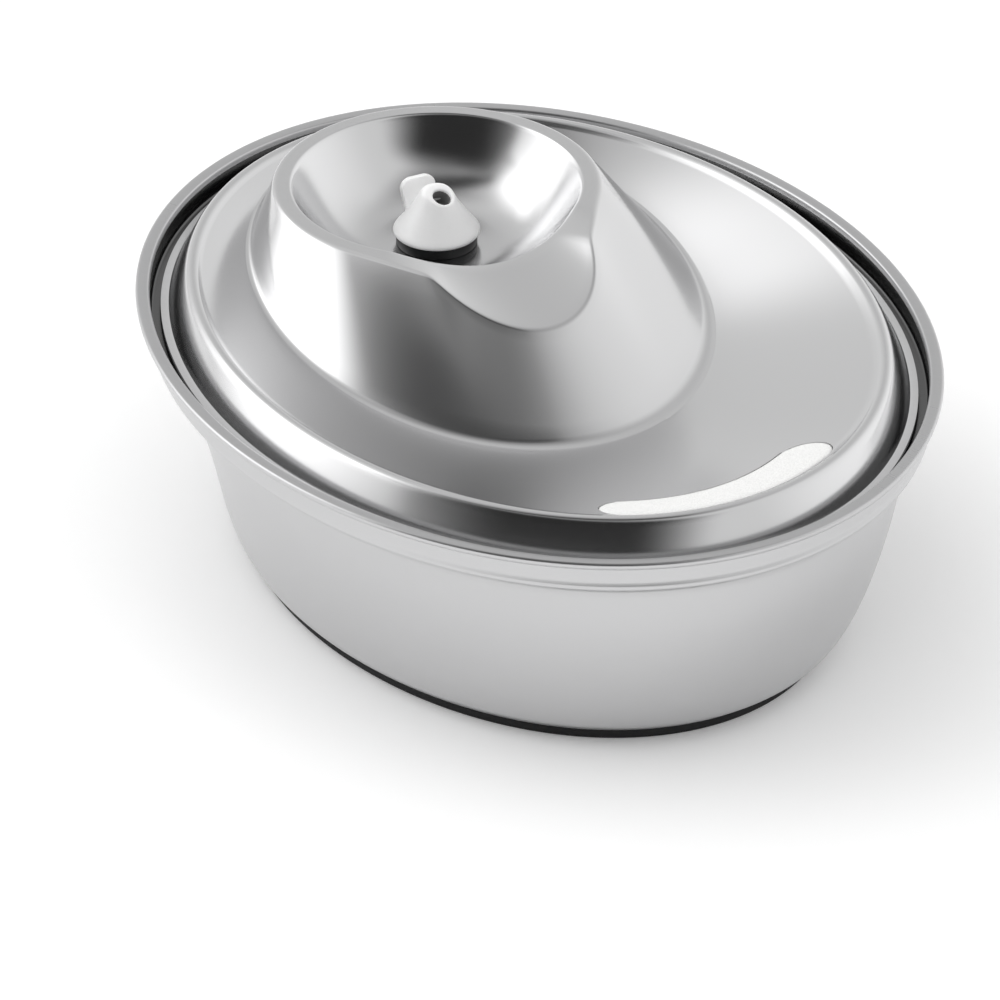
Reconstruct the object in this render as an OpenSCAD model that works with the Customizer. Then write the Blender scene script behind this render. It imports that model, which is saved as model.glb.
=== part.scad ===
// Oval steel pet water fountain: a pressed bowl, a lift-off drinking lid with
// a raised basin and spout, and a small submersible pump under the basin.
// X runs along the bowl with the drain slot at +X, Z is up, and the origin is
// on the table under the middle of the rim.

/* [Bowl] */
// Length of the bowl over its rim
bowl_length = 249; // [235:1:265]
// Width of the bowl over its rim
bowl_width = 195; // [185:1:210]
// Height of the rim above the table
bowl_height = 66.8; // [65:0.1:74]
// Thickness of the pressed steel
sheet_t = 0.8; // [0.6:0.1:1]
// Width of the flat rim
rim_w = 3.5; // [3:0.1:4.5]
// Thickness of the rolled rim
rim_t = 1.7; // [1.4:0.1:2.2]
// Depth from the rim to the ledge that carries the lid
ledge_depth = 6.4; // [5.5:0.1:7.5]
// Inset of the wall just under the ledge
ledge_inset = 7.7; // [7:0.1:9]
// Inset of the foot from the rim
foot_inset = 26.4; // [23:0.2:29]
// Forward lean of the wall at half height
belly_shift = 4.8; // [0:0.1:6]
// Height of the rubber ring under the foot
foot_ring_h = 2.7; // [2:0.1:4]
// Width of the rubber ring under the foot
foot_ring_w = 9; // [6:0.5:14]

/* [Lid] */
// Inset of the lid's flange from the rim
flange_inset = 6.5; // [6.2:0.1:6.8]
// Width of the lid's flange
flange_w = 1.8; // [1.6:0.1:2.1]
// Thickness of the seal under the flange
seal_t = 0.9; // [0.6:0.1:1.2]
// Inset of the crest from the rim
crest_inset = 14.9; // [14:0.1:16]
// Height of the crest over the rim
crest_rise = 4.9; // [3:0.1:7]
// Half width of the crest's bead
crest_r = 1.8; // [1.4:0.1:2.2]
// Distance of the drain slot's middle line inside the crest
slot_inset = 10.6; // [10.4:0.1:11.2]
// Width of the drain slot
slot_w = 15; // [13:0.1:15.2]
// Length of the drain slot across the lid
slot_length = 66; // [56:1:70]
// Offset of the drain slot from the lid's middle line
slot_offset = 3.9; // [0:0.1:5]
// Width of the notch that lets the pump's lead out
notch_w = 6; // [5:0.5:8]

/* [Raised basin] */
// Distance of the basin's centre from the back of the rim
basin_setback = 66.1; // [64:0.1:69]
// Outer radius of the basin's collar
collar_r = 42.5; // [41:0.1:44]
// Width of the basin's flat collar
collar_w = 4.7; // [4:0.1:6]
// Height of the collar over the rim
collar_rise = 12.35; // [9:0.05:18]
// Depth of the basin below its collar
basin_depth = 17.15; // [15:0.05:19]
// Radius of the basin's flat floor
basin_floor_r = 13; // [12.5:0.1:16]
// Radius of the raised part's nose at the collar's height
spout_r = 27.4; // [25:0.1:29]
// Distance from the basin's centre to the nose's centre
spout_reach = 28.5; // [26:0.5:31]
// Distance from the basin's centre to where the spout's edge starts to fall
spout_start = 43.9; // [43:0.1:47]
// Drop of the spout's tip below the collar
spout_drop = 8.4; // [6:0.1:10]
// Drop of the spout's channel where it leaves the basin
channel_drop = 4.4; // [3:0.1:6]
// Length of the raised part's foot
mound_length = 142; // [135:0.5:146]
// Width of the raised part's foot
mound_width = 112; // [104:0.5:118]
// Gap between the crest and the back of the raised part's foot
mound_gap = 4.6; // [4.2:0.1:6]
// Drop of the dish below the rim, in front of the raised part
dish_drop = 15.3; // [11:0.1:18]
// Rise of the raised part's foot over the rim, at the back
mound_back_rise = 2.4; // [1:0.1:3.5]

/* [Nozzle] */
// Radius of the nozzle's foot
nozzle_r = 11.4; // [10.8:0.1:12.2]
// Height of the nozzle
nozzle_h = 13; // [12:0.1:16]
// Radius of the nozzle's top
nozzle_top_r = 3.4; // [3:0.1:4.5]
// Radius of the water hole in the nozzle
nozzle_hole_r = 1.9; // [1.2:0.1:2.2]
// Width of the nozzle's finger tab
tab_w = 8.2; // [6:0.1:10]
// Height of the nozzle's finger tab
tab_h = 9; // [7:0.1:11]
// Thickness of the nozzle's finger tab
tab_t = 1.6; // [1.2:0.1:2]
// Height of the black grommet over the basin's floor
grommet_h = 2.8; // [2.2:0.1:3.4]
// Radius of the black grommet
grommet_r = 10.6; // [10.2:0.1:11.2]
// Outer radius of the spigot that carries the nozzle
spigot_r = 5; // [4.6:0.1:5.4]
// Radius of the spigot's water way
spigot_bore_r = 3.4; // [3:0.1:3.6]
// Depth that the spigot reaches into the pump's outlet
spigot_engage = 8; // [6:0.5:10]

/* [Filter] */
// Gap between the lid's underside and the cartridge
fleece_gap = 0.3; // [0.2:0.1:0.8]
// Thickness of the cartridge's collar in the drain slot
collar_t = 1; // [0.8:0.1:1.4]
// Thickness of the cartridge's cover
tray_cover_t = 1.2; // [1:0.1:1.6]
// Thickness of the filter fleece
fleece_t = 2.5; // [2:0.1:3]
// Thickness of the carbon bed
carbon_t = 4.5; // [3:0.1:6]
// Wall thickness of the filter tray
tray_wall = 1.6; // [1.2:0.1:2.2]
// Radius of the holes in the filter tray
tray_hole_r = 1.5; // [1:0.1:2]

/* [Pump] */
// Width of the pump
pump_w = 36; // [34:0.5:40]
// Height of the pump's housings
pump_h = 33; // [31:0.5:36]
// Length of the motor housing
motor_l = 26; // [24:0.5:27]
// Length of the volute housing
volute_l = 15; // [14:0.5:17]
// Length of the intake cover
cover_l = 13; // [12:0.5:16]
// Wall thickness of the pump's mouldings
pump_wall = 1.8; // [1.5:0.1:2.2]
// Corner radius of the pump's housings
pump_corner_r = 5; // [4:0.1:6]
// Height of the suction cups under the pump
cup_h = 6.5; // [5.5:0.1:8]
// Radius of a suction cup
cup_r = 7; // [6:0.1:8]
// Radius of the impeller
impeller_r = 11; // [10:0.1:11.6]
// Number of impeller blades
blade_count = 6; // [4:1:8]
// Radius of the rotor magnet
magnet_r = 8; // [7:0.1:8.4]
// Length of the rotor magnet
magnet_l = 15; // [13:0.1:16]
// Radius of the ceramic shaft
shaft_r = 1.2; // [1:0.05:1.5]
// Outer radius of the pump's outlet
outlet_r = 7; // [6.8:0.1:7.6]
// Width of a slot in the intake cover
grille_w = 2.2; // [1.6:0.1:2.6]
// Radius of the flow dial
dial_r = 6.5; // [5:0.1:8]
// Radius of the pump's lead
lead_r = 1.8; // [1.5:0.1:2]

/* [Fits] */
// Running clearance of a shaft in its hole
running_gap = 0.06; // [0.02:0.01:0.1]
// Clearance between pieces that lift apart
lift_gap = 0.3; // [0.2:0.05:0.5]
// Clearance of the impeller in its chamber
chamber_gap = 1.2; // [0.8:0.1:1.6]
// Clearance of the rotor magnet in its well
well_gap = 0.6; // [0.4:0.1:0.8]

/* [Hidden] */

// Counts: points round an oval skin, and facets round a turned piece
skin_points = 64;
round_facets = 64;
overrun = 1;

// Bowl
half_l = bowl_length / 2;
half_w = bowl_width / 2;
ledge_z = bowl_height - ledge_depth;
neck_inset = rim_w + sheet_t / 4;
floor_z = foot_ring_h + sheet_t;
foot_round = 2.5;

// The wall from the foot up to the ledge: shares of its height and of its inset
wall_shares = [
    [0, -0.12],
    [0.008, 0.04],
    [0.03, 0.13],
    [0.094, 0.245],
    [0.27, 0.417],
    [0.483, 0.583],
    [0.696, 0.759],
    [0.908, 0.93],
    [1, 1]];
// The rolled rim: shares of its width and of its thickness
rim_shares = [[0.62, 0], [0.2, 0], [0.04, 0.25], [0, 0.6], [0.08, 0.92], [0.24, 1], [0.86, 1], [1, 0.82]];

// Lid
flange_z = ledge_z + seal_t + sheet_t;
crest_z = bowl_height + crest_rise;
bead_shares = [[-1, -0.5], [-0.55, -0.12], [0, 0], [0.55, -0.12], [1.2, -0.6]];
// The dish between crest and raised part: share of the way in
dish_shares = [0.08, 0.2, 0.38, 0.6, 0.8, 1];
dish_power = 1.15;
basin_power = 2.5;

// Raised part
basin_x = basin_setback - half_l;
collar_z = bowl_height + collar_rise;
basin_r = collar_r - collar_w;
basin_floor_z = collar_z - basin_depth;
mound_back_x = crest_inset + mound_gap - half_l;
mound_x = mound_back_x + mound_length / 2;
mound_slope = (mound_back_rise + dish_drop) / mound_length;
// The flank from foot to collar: shares of the way in and of the way up
flank_shares = [[0.04, 0.018], [0.09, 0.07], [0.3, 0.295], [0.55, 0.55], [0.8, 0.805], [0.95, 0.96]];
nose_side = acos((collar_r - spout_r) / spout_reach);
nose_end = atan2(spout_r * sin(nose_side), spout_reach + spout_r * cos(nose_side));
channel_angle = 45;
channel_power = 1.2;
collar_round = 0.7;
basin_shares = [0.9, 0.74, 0.56, 0.36, 0];

// Nozzle, grommet and spigot
grommet_neck_t = 2.2;
grommet_bore_r = spigot_r + running_gap;
floor_hole_r = grommet_bore_r + grommet_neck_t;
grommet_lip_w = 1.6;
grommet_lip_r = floor_hole_r + grommet_lip_w;
grommet_lip_t = 1.2;
grommet_top_z = basin_floor_z + grommet_h;
nozzle_foot_z = grommet_top_z + running_gap;
nozzle_wall = 1.4;
nozzle_skirt_h = 1.1;
nozzle_nose_h = 1.4;
nozzle_hub_h = 6;
hole_tilt = 14;
hole_forward = 1.2;
tab_lean = 8;
tab_root = 3.2;
tab_corner_r = 2;
spigot_top_z = nozzle_foot_z + nozzle_hub_h - running_gap;
oring_r = 0.75;
spigot_low_r = spigot_r - oring_r / 5;

// Pump
pump_z = floor_z + cup_h;
pump_mid_z = pump_z + pump_h / 2;
pump_top_z = pump_z + pump_h;
volute_x = basin_x - volute_l / 2;
motor_x = volute_x - motor_l;
cover_x = volute_x + volute_l;
grommet_under_z = basin_floor_z - sheet_t - grommet_lip_t;
outlet_gap = 2;
outlet_top_z = grommet_under_z - outlet_gap;
outlet_bore_r = spigot_r + running_gap;
outlet_seat_z = outlet_top_z - spigot_engage - oring_r;
spigot_bottom_z = outlet_top_z - spigot_engage;
water_way_r = spigot_bore_r;
chamber_r = impeller_r + chamber_gap;
well_r = magnet_r + well_gap;
well_wall = 1;
well_room = 4;
well_l = magnet_l + well_room;
well_floor_x = volute_x - well_l;
cap_t = 2.2;
cap_lip = 2;
core_l = 9;
core_w = 21.6;
core_h = 27;
core_gap = 1.2;
core_x = volute_x - pump_wall - core_l - core_gap;
coil_l = 4.6;
bobbin_t = 0.8;
coil_t = 2.6;
coil_r = well_r + well_wall + coil_t;
board_t = 1.2;
board_w = 24;
board_h = 20;
bush_l = 3;
bush_r = 3;
bush_boss_t = 1.4;
thrust_gap = 0.4;
magnet_x = well_floor_x + bush_l + thrust_gap;
impeller_setback = 1.6;
impeller_x = volute_x + impeller_setback;
disc_t = 1.4;
blade_t = 1.2;
blade_w = 5;
hub_r = 4.2;
volute_front_t = 2;
inlet_r = 6.4;
chamber_l = volute_l - volute_front_t;
front_bush_x = cover_x - volute_front_t - bush_l;
spider_t = 1.8;
screw_r = 1.2;
screw_head_r = 1.9;
screw_head_t = 1.4;
screw_grip = 8;
screw_boss_r = 2.6;
screw_inset = 4.2;
gasket_r = 0.7;
gasket_ring_r = chamber_r + gasket_r * 2;
foam_gap = 0.4;
dial_t = 1.4;
dial_knob_w = 2;
dial_knob_h = 2.4;
dial_pin_r = 1.6;
cup_neck_r = 2.4;
cup_lip_t = 1;
cup_inset = 8.5;
gland_l = 8;
gland_r = 3.4;
gland_setback = 8;

function lerp(a, b, s) = a + (b - a) * s;
function oval(inset, z, shift = 0) = [for (i = [0:skin_points - 1])
    let (t = 360 * i / skin_points)
    [shift + (half_l - inset) * cos(t), (half_w - inset) * sin(t), z]];

// Closed skin through a list of rings with the same number of points. A capped
// skin ends in flat faces, and one that isn't joins its last ring to its first.
module skin(rings, capped = true) {
    n = len(rings[0]);
    m = len(rings);
    last = capped ? m - 2 : m - 1;
    sides = [for (k = [0:last])
        for (j = [0:n - 1])
            let (a = k * n + j)
            let (b = k * n + (j + 1) % n)
            let (c = ((k + 1) % m) * n + (j + 1) % n)
            let (d = ((k + 1) % m) * n + j)
            each [[a, d, c], [a, c, b]]];
    low = [for (j = [0:n - 1]) j];
    high = [for (j = [n - 1:-1:0]) (m - 1) * n + j];
    polyhedron(points = [for (r = rings) each r], faces = capped ? concat(sides, [low, high]) : sides);
}

// Bowl
function wall_z(share) = lerp(foot_ring_h, ledge_z - sheet_t, share);
function wall_inset(share) = lerp(foot_inset, ledge_inset, share);
function belly(z) = z < ledge_z ? belly_shift * sin(180 * z / ledge_z) : 0;

module outer_bowl() {
    wall_outside = [for (s = wall_shares) oval(wall_inset(s[1]), wall_z(s[0]), belly(wall_z(s[0])) * sign(s[0]))];
    neck_outside = [
        oval(neck_inset, ledge_z - sheet_t),
        oval(neck_inset - sheet_t, ledge_z),
        oval(neck_inset - sheet_t, bowl_height - rim_t)];
    rim = [for (s = rim_shares) oval(rim_w * s[0], bowl_height - rim_t + rim_t * s[1])];
    neck_inside = [
        oval(neck_inset, bowl_height - rim_t),
        oval(neck_inset, ledge_z + sheet_t / 2),
        oval(neck_inset + sheet_t / 2, ledge_z),
        oval(ledge_inset + sheet_t, ledge_z)];
    wall_inside = [for (k = [len(wall_shares) - 2:-1:3])
        let (s = wall_shares[k])
        oval(wall_inset(s[1]) + sheet_t, wall_z(s[0]), belly(wall_z(s[0])))];
    corner_inside = [
        oval(wall_inset(wall_shares[2][1]) + sheet_t, wall_z(wall_shares[2][0]) + sheet_t, belly(floor_z)),
        oval(foot_inset + foot_round, floor_z + sheet_t / 4, belly(floor_z)),
        oval(foot_inset + foot_round * 2, floor_z)];
    color("silver") skin(concat(wall_outside, neck_outside, rim, neck_inside, wall_inside, corner_inside));
}

module flat_oval(inset) {
    scale([1, (half_w - inset) / (half_l - inset)]) circle(r = half_l - inset, $fn = round_facets);
}

module foot_ring() {
    color("black") difference() {
        translate([0, 0, -overrun]) linear_extrude(height = foot_ring_h + overrun) difference() {
            flat_oval(foot_inset);
            flat_oval(foot_inset + foot_ring_w);
        }
        translate([0, 0, -overrun]) cube([bowl_length, bowl_width, overrun * 2], center = true);
    }
}

// Lid: each function gives one ring of the pressed sheet's upper face
function foot_height(x) = bowl_height - dish_drop + mound_slope * (mound_back_x + mound_length - x);
function mound_foot(t) = let (x = mound_x + mound_length / 2 * cos(t))
    [x, mound_width / 2 * sin(t), foot_height(x)];
function near(t) = t > 180 ? 360 - t : t;
function bump(t, angle, power) = near(t) < angle ? pow(cos(90 * near(t) / angle), power) : 0;
function edge_z(t) = collar_z - channel_drop * bump(t, channel_angle, channel_power);
function around(t, r, z) = [basin_x + r * cos(t), r * sin(t), z];
// Level top of the flank: the collar's circle and the nose, joined by straight sides
function egg_r(t) = near(t) > nose_side ? collar_r
    : near(t) > nose_end ? collar_r / cos(nose_side - near(t))
    : spout_reach * cos(t) + sqrt(pow(spout_r, 2) - pow(spout_reach * sin(t), 2));
function egg(t) = around(t, egg_r(t), collar_z);
// The spout cuts the flank along a slope that starts at the collar's front
spout_start_x = basin_x + spout_start;
tip_share = 1 - spout_drop / (collar_z - mound_foot(0)[2]);
spout_tip_x = lerp(mound_foot(0)[0], egg(0)[0], tip_share);
spout_slope_share = spout_drop / (spout_tip_x - spout_start_x);
function cut_share(a, b) = (b[2] - a[2] - spout_slope_share * (a[0] - spout_start_x))
    / (b[2] - a[2] + spout_slope_share * (b[0] - a[0]));
function brim(t) = let (a = mound_foot(t))
    let (b = egg(t))
    lerp(a, b, near(t) > 90 ? 1 : min(cut_share(a, b), 1));
function edge(t) = around(t, basin_r, edge_z(t));
function toward(a, b, run) = a + unit(b - a) * run;
function dish_top(t) = [
    (half_l - crest_inset - crest_r * 1.2) * cos(t),
    (half_w - crest_inset - crest_r * 1.2) * sin(t),
    crest_z - crest_r * 0.6];
function dish(t, s) = let (a = dish_top(t))
    let (b = mound_foot(t))
    [lerp(a[0], b[0], s), lerp(a[1], b[1], s), lerp(b[2], a[2], pow(1 - s, dish_power))];
function flank(t, s) = let (a = mound_foot(t))
    let (b = brim(t))
    [lerp(a[0], b[0], s[0]), lerp(a[1], b[1], s[0]), lerp(a[2], b[2], s[1])];
function basin(t, s) = around(t, lerp(basin_floor_r, basin_r, s), lerp(basin_floor_z, edge_z(t), pow(s, basin_power)));
function turn(f) = [for (i = [0:skin_points - 1]) f(360 * i / skin_points)];

function lid_rings() = concat(
    [oval(flange_inset, flange_z)],
    [oval(flange_inset + flange_w, flange_z)],
    [oval(flange_inset + flange_w + sheet_t, flange_z + sheet_t)],
    [oval(lerp(flange_inset + flange_w + sheet_t, crest_inset - crest_r, 0.5), lerp(flange_z, crest_z, 0.5))],
    [for (s = bead_shares) oval(crest_inset + crest_r * s[0], crest_z + crest_r * s[1])],
    [for (s = dish_shares) turn(function(t) dish(t, s))],
    [for (s = flank_shares) turn(function(t) flank(t, s))],
    [turn(function(t) brim(t))],
    [turn(function(t) toward(brim(t), edge(t), collar_round))],
    [turn(function(t) lerp(brim(t), edge(t), 0.5))],
    [turn(function(t) edge(t))],
    [for (s = basin_shares) turn(function(t) basin(t, s))],
    [turn(function(t) around(t, floor_hole_r * 0.8, basin_floor_z))]);

// The under face lies one sheet thickness along the surface's own normal
function unit(v) = v / norm(v);
function under(rings, k, j) = let (n = len(rings[k]))
    let (along = rings[k][(j + 1) % n] - rings[k][(j + n - 1) % n])
    let (inward = rings[k + 1][j] - rings[k - 1][j])
    rings[k][j] - sheet_t * unit(cross(along, inward));
function lowered(ring, depth) = [for (p = ring) p - [0, 0, depth]];

module slot_outline(margin = 0) {
    middle = crest_inset + slot_inset;
    reach = (slot_length - slot_w) / 2;
    intersection() {
        difference() {
            flat_oval(middle - slot_w / 2 - margin);
            flat_oval(middle + slot_w / 2 + margin);
        }
        translate([half_l / 2, slot_offset]) square([half_l, reach * 2], center = true);
    }
    for (y = [slot_offset - reach, slot_offset + reach])
        translate([(half_l - middle) * sqrt(1 - pow(y / (half_w - middle), 2)), y])
            circle(r = slot_w / 2 + margin, $fn = round_facets / 2);
}

module drinking_lid() {
    top = lid_rings();
    m = len(top);
    bottom = concat(
        [lowered(top[m - 1], sheet_t)],
        [for (k = [m - 2:-1:1]) [for (j = [0:skin_points - 1]) under(top, k, j)]],
        [lowered(top[0], sheet_t)]);
    color("silver") difference() {
        skin(concat(top, bottom), capped = false);
        linear_extrude(height = crest_z + overrun) slot_outline();
        translate([basin_x, 0, 0]) cylinder(r = floor_hole_r, h = collar_z, $fn = round_facets);
        translate([-half_l, -notch_w / 2, 0]) cube([flange_inset + flange_w + sheet_t / 2, notch_w, collar_z]);
    }
}

module lid_seal() {
    color("dimgray") translate([0, 0, ledge_z]) linear_extrude(height = seal_t) difference() {
        flat_oval(flange_inset + sheet_t / 4);
        flat_oval(flange_inset + flange_w + sheet_t / 4);
        translate([-half_l, -notch_w / 2]) square([flange_inset + flange_w * 2, notch_w]);
    }
}

// Nozzle and what carries it
module at_basin(z) { translate([basin_x, 0, z]) children(); }

module nozzle_grommet() {
    under_z = basin_floor_z - sheet_t;
    color("black") at_basin(0) rotate_extrude($fn = round_facets) polygon([
        [grommet_bore_r, under_z - grommet_lip_t],
        [grommet_lip_r, under_z - grommet_lip_t],
        [grommet_lip_r, under_z],
        [floor_hole_r, under_z],
        [floor_hole_r, basin_floor_z],
        [grommet_r, basin_floor_z],
        [grommet_r, grommet_top_z],
        [grommet_bore_r, grommet_top_z]]);
}

module nozzle_spigot() {
    groove_z = spigot_bottom_z + spigot_engage / 2;
    color("white") at_basin(0) difference() {
        cylinder(r = spigot_r, h = spigot_top_z, $fn = round_facets);
        translate([0, 0, -overrun]) cylinder(r = spigot_r + overrun, h = spigot_bottom_z + overrun, $fn = round_facets);
        cylinder(r = spigot_bore_r, h = spigot_top_z + overrun, $fn = round_facets);
        difference() {
            cylinder(r = spigot_r + overrun, h = outlet_top_z, $fn = round_facets);
            cylinder(r = spigot_low_r, h = outlet_top_z, $fn = round_facets);
        }
        translate([0, 0, groove_z]) rotate_extrude($fn = round_facets)
            translate([spigot_low_r, 0]) circle(r = oring_r, $fn = round_facets / 2);
    }
}

module spigot_oring() {
    groove_z = spigot_bottom_z + spigot_engage / 2;
    seated_r = oring_r - running_gap;
    color("black") at_basin(groove_z) intersection() {
        rotate_extrude($fn = round_facets) translate([spigot_low_r, 0]) circle(r = seated_r, $fn = round_facets / 2);
        cylinder(r = spigot_r, h = oring_r * 4, center = true, $fn = round_facets);
    }
}

module nozzle() {
    bore_r = spigot_r + running_gap;
    inner_r = nozzle_r - nozzle_wall * 1.5;
    crown_z = nozzle_h - nozzle_nose_h;
    color("white") at_basin(nozzle_foot_z) {
        difference() {
            union() {
                rotate_extrude($fn = round_facets) polygon([
                    [0, 0],
                    [nozzle_r - nozzle_skirt_h / 4, 0],
                    [nozzle_r, nozzle_skirt_h / 4],
                    [nozzle_r, nozzle_skirt_h],
                    [nozzle_r - nozzle_skirt_h / 2, nozzle_skirt_h * 1.8],
                    [nozzle_top_r + nozzle_nose_h / 2, crown_z],
                    [nozzle_top_r, crown_z + nozzle_nose_h * 0.6],
                    [nozzle_top_r * 0.6, nozzle_h - nozzle_nose_h * 0.08],
                    [0, nozzle_h]]);
                translate([tab_root - nozzle_r, 0, nozzle_skirt_h]) rotate([0, -tab_lean, 0]) tab();
            }
            difference() {
                translate([0, 0, -overrun]) cylinder(r1 = inner_r, r2 = bore_r + nozzle_wall,
                    h = nozzle_hub_h * 0.75 + overrun, $fn = round_facets);
                translate([0, 0, -overrun]) cylinder(r = bore_r + nozzle_wall, h = nozzle_h, $fn = round_facets);
            }
            translate([0, 0, -overrun]) cylinder(r = bore_r, h = nozzle_hub_h + overrun, $fn = round_facets);
            translate([hole_forward, 0, nozzle_h / 2]) rotate([0, hole_tilt, 0])
                translate([0, 0, -nozzle_h / 6]) cylinder(r = nozzle_hole_r, h = nozzle_h, $fn = round_facets / 2);
        }
    }
}

module tab() {
    foot_w = tab_w * 0.8;
    hull() {
        translate([-tab_t / 2 - tab_root, -foot_w / 2, 0]) cube([tab_t, foot_w, tab_corner_r]);
        for (side = [-1, 1])
            translate([-tab_t / 2 - tab_root, side * (tab_w / 2 - tab_corner_r), tab_h - tab_corner_r])
                rotate([0, 90, 0]) cylinder(r = tab_corner_r, h = tab_t, $fn = round_facets / 2);
    }
}

// Filter under the drain slot: patches that follow the dish's under face
patch_angle = 34;
patch_margin = 5;
dish_run = half_l - crest_inset - crest_r * 1.2 - mound_back_x - mound_length;
patch_in_share = (slot_inset + slot_w / 2 - crest_r * 1.2 + patch_margin) / dish_run;
patch_steps = 14;
patch_rows = 4;
function patch_point(t, s, depth) = dish(t, s) - [0, 0, depth];

// A slab between two depths under the dish, cut into strips along its slope
module dish_patch(angle, share_a, share_b, depth_a, depth_b) {
    rows = patch_rows;
    cols = patch_steps;
    per = (rows + 1) * (cols + 1);
    function idx(i, k, layer) = layer * per + k * (cols + 1) + i;
    points = [for (layer = [0, 1])
        for (k = [0:rows])
            for (i = [0:cols])
                patch_point(lerp(-angle, angle, i / cols), lerp(share_a, share_b, k / rows), layer == 0 ? depth_a : depth_b)];
    top = [for (k = [0:rows - 1])
        for (i = [0:cols - 1])
            each [[idx(i, k, 0), idx(i + 1, k + 1, 0), idx(i + 1, k, 0)],
                [idx(i, k, 0), idx(i, k + 1, 0), idx(i + 1, k + 1, 0)]]];
    base = [for (k = [0:rows - 1])
        for (i = [0:cols - 1])
            each [[idx(i, k, 1), idx(i + 1, k, 1), idx(i + 1, k + 1, 1)],
                [idx(i, k, 1), idx(i + 1, k + 1, 1), idx(i, k + 1, 1)]]];
    ends = [for (i = [0:cols - 1])
        each [[idx(i, 0, 0), idx(i + 1, 0, 0), idx(i + 1, 0, 1), idx(i, 0, 1)],
            [idx(i + 1, rows, 0), idx(i, rows, 0), idx(i, rows, 1), idx(i + 1, rows, 1)]]];
    flanks = [for (k = [0:rows - 1])
        each [[idx(0, k + 1, 0), idx(0, k, 0), idx(0, k, 1), idx(0, k + 1, 1)],
            [idx(cols, k, 0), idx(cols, k + 1, 0), idx(cols, k + 1, 1), idx(cols, k, 1)]]];
    polyhedron(points = points, faces = concat(top, base, ends, flanks));
}

cover_depth = sheet_t * 1.2 + fleece_gap;
fleece_depth = cover_depth + tray_cover_t;
carbon_depth = fleece_depth + fleece_t;
tray_depth = carbon_depth + carbon_t;
// Wall of the tray as an angle and as a share of the dish
tray_angle = atan(tray_wall / (half_w - crest_inset - slot_inset));
tray_wall_share = tray_wall / dish_run;
patch_out_share = tray_wall_share;

module filling(top, base) {
    slack = tray_wall_share / 8;
    dish_patch(patch_angle - tray_angle / 8, patch_out_share + slack, patch_in_share - slack,
        top + lift_gap / 2, base - lift_gap / 4);
}

module filter_fleece() {
    color("white") filling(fleece_depth, carbon_depth);
}

module carbon_bed() {
    color("black") filling(carbon_depth, tray_depth);
}

module filter_tray() {
    rows = [-4:4];
    hole_x = dish(0, (patch_out_share + patch_in_share) / 2)[0];
    pitch = (half_w - crest_inset) * sin(patch_angle) * 0.16;
    color("white") {
        intersection() {
            dish_patch(patch_angle + tray_angle, 0, patch_in_share + tray_wall_share,
                sheet_t * 0.3, (cover_depth + fleece_depth) / 2);
            linear_extrude(height = crest_z) difference() {
                slot_outline(-lift_gap);
                slot_outline(-lift_gap - collar_t);
            }
        }
        difference() {
            dish_patch(patch_angle + tray_angle, 0, patch_in_share + tray_wall_share,
                cover_depth, tray_depth + tray_wall);
            dish_patch(patch_angle, patch_out_share, patch_in_share, fleece_depth, tray_depth);
            for (row = rows)
                translate([hole_x - abs(row) * tray_hole_r, row * pitch, 0])
                    cylinder(r = tray_hole_r, h = crest_z - tray_depth, $fn = round_facets / 4);
            translate([0, 0, crest_z - tray_depth]) linear_extrude(height = tray_depth)
                slot_outline(-lift_gap - collar_t);
        }
    }
}

// Pump: housings are rounded blocks along X
module block(x, length, inset) {
    w = pump_w - inset * 2;
    h = pump_h - inset * 2;
    r = max(pump_corner_r - inset, inset / 4);
    translate([x, 0, pump_mid_z]) rotate([90, 0, 90]) linear_extrude(height = length) rounded(w, h, r);
}

module rounded(w, h, r) {
    square([w - r * 2, h], center = true);
    square([w, h - r * 2], center = true);
    for (sx = [-1, 1])
        for (sy = [-1, 1])
            translate([sx * (w / 2 - r), sy * (h / 2 - r)]) circle(r = r, $fn = round_facets / 2);
}

module rod(x, length, r) {
    translate([x, 0, pump_mid_z]) rotate([0, 90, 0]) cylinder(r = r, h = length, $fn = round_facets);
}

module at_screws(x) {
    for (sy = [-1, 1])
        for (sz = [-1, 1])
            translate([x, sy * (pump_w / 2 - screw_inset), pump_mid_z + sz * (pump_h / 2 - screw_inset)])
                rotate([0, 90, 0]) children();
}

module screw_holes() {
    at_screws(volute_x - screw_grip)
        cylinder(r = screw_r + running_gap, h = screw_grip + volute_l + overrun, $fn = round_facets / 2);
}

// The space inside the motor housing, less the four screw bosses and the well
module motor_pocket(length, kept_r) {
    inner_r = pump_corner_r - pump_wall;
    translate([motor_x + cap_t - overrun, 0, pump_mid_z]) rotate([90, 0, 90])
        linear_extrude(height = length + overrun) difference() {
            rounded(pump_w - pump_wall * 2, pump_h - pump_wall * 2, inner_r);
            circle(r = kept_r, $fn = round_facets);
            for (sy = [-1, 1])
                for (sz = [-1, 1])
                    translate([sy * (pump_w / 2 - screw_inset), sz * (pump_h / 2 - screw_inset)])
                        circle(r = screw_boss_r, $fn = round_facets / 2);
        }
}

module motor_housing() {
    back_x = motor_x + cap_t;
    gland_x = motor_x + gland_setback;
    color("dimgray") difference() {
        block(back_x, motor_l - cap_t, 0);
        motor_pocket(well_floor_x - well_wall - back_x, shaft_r / 2);
        motor_pocket(motor_l - cap_t - pump_wall, well_r + well_wall);
        rod(well_floor_x, well_l + overrun, well_r);
        rod(back_x - overrun, well_floor_x - well_wall - back_x + overrun, shaft_r);
        screw_holes();
        translate([volute_x, 0, pump_mid_z]) rotate([0, 90, 0]) rotate_extrude($fn = round_facets)
            translate([gasket_ring_r, 0]) circle(r = gasket_r, $fn = round_facets / 2);
        translate([gland_x, 0, pump_top_z - pump_wall - overrun])
            cylinder(r = gland_r * 0.7, h = pump_wall + overrun * 2, $fn = round_facets / 2);
    }
}

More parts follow.
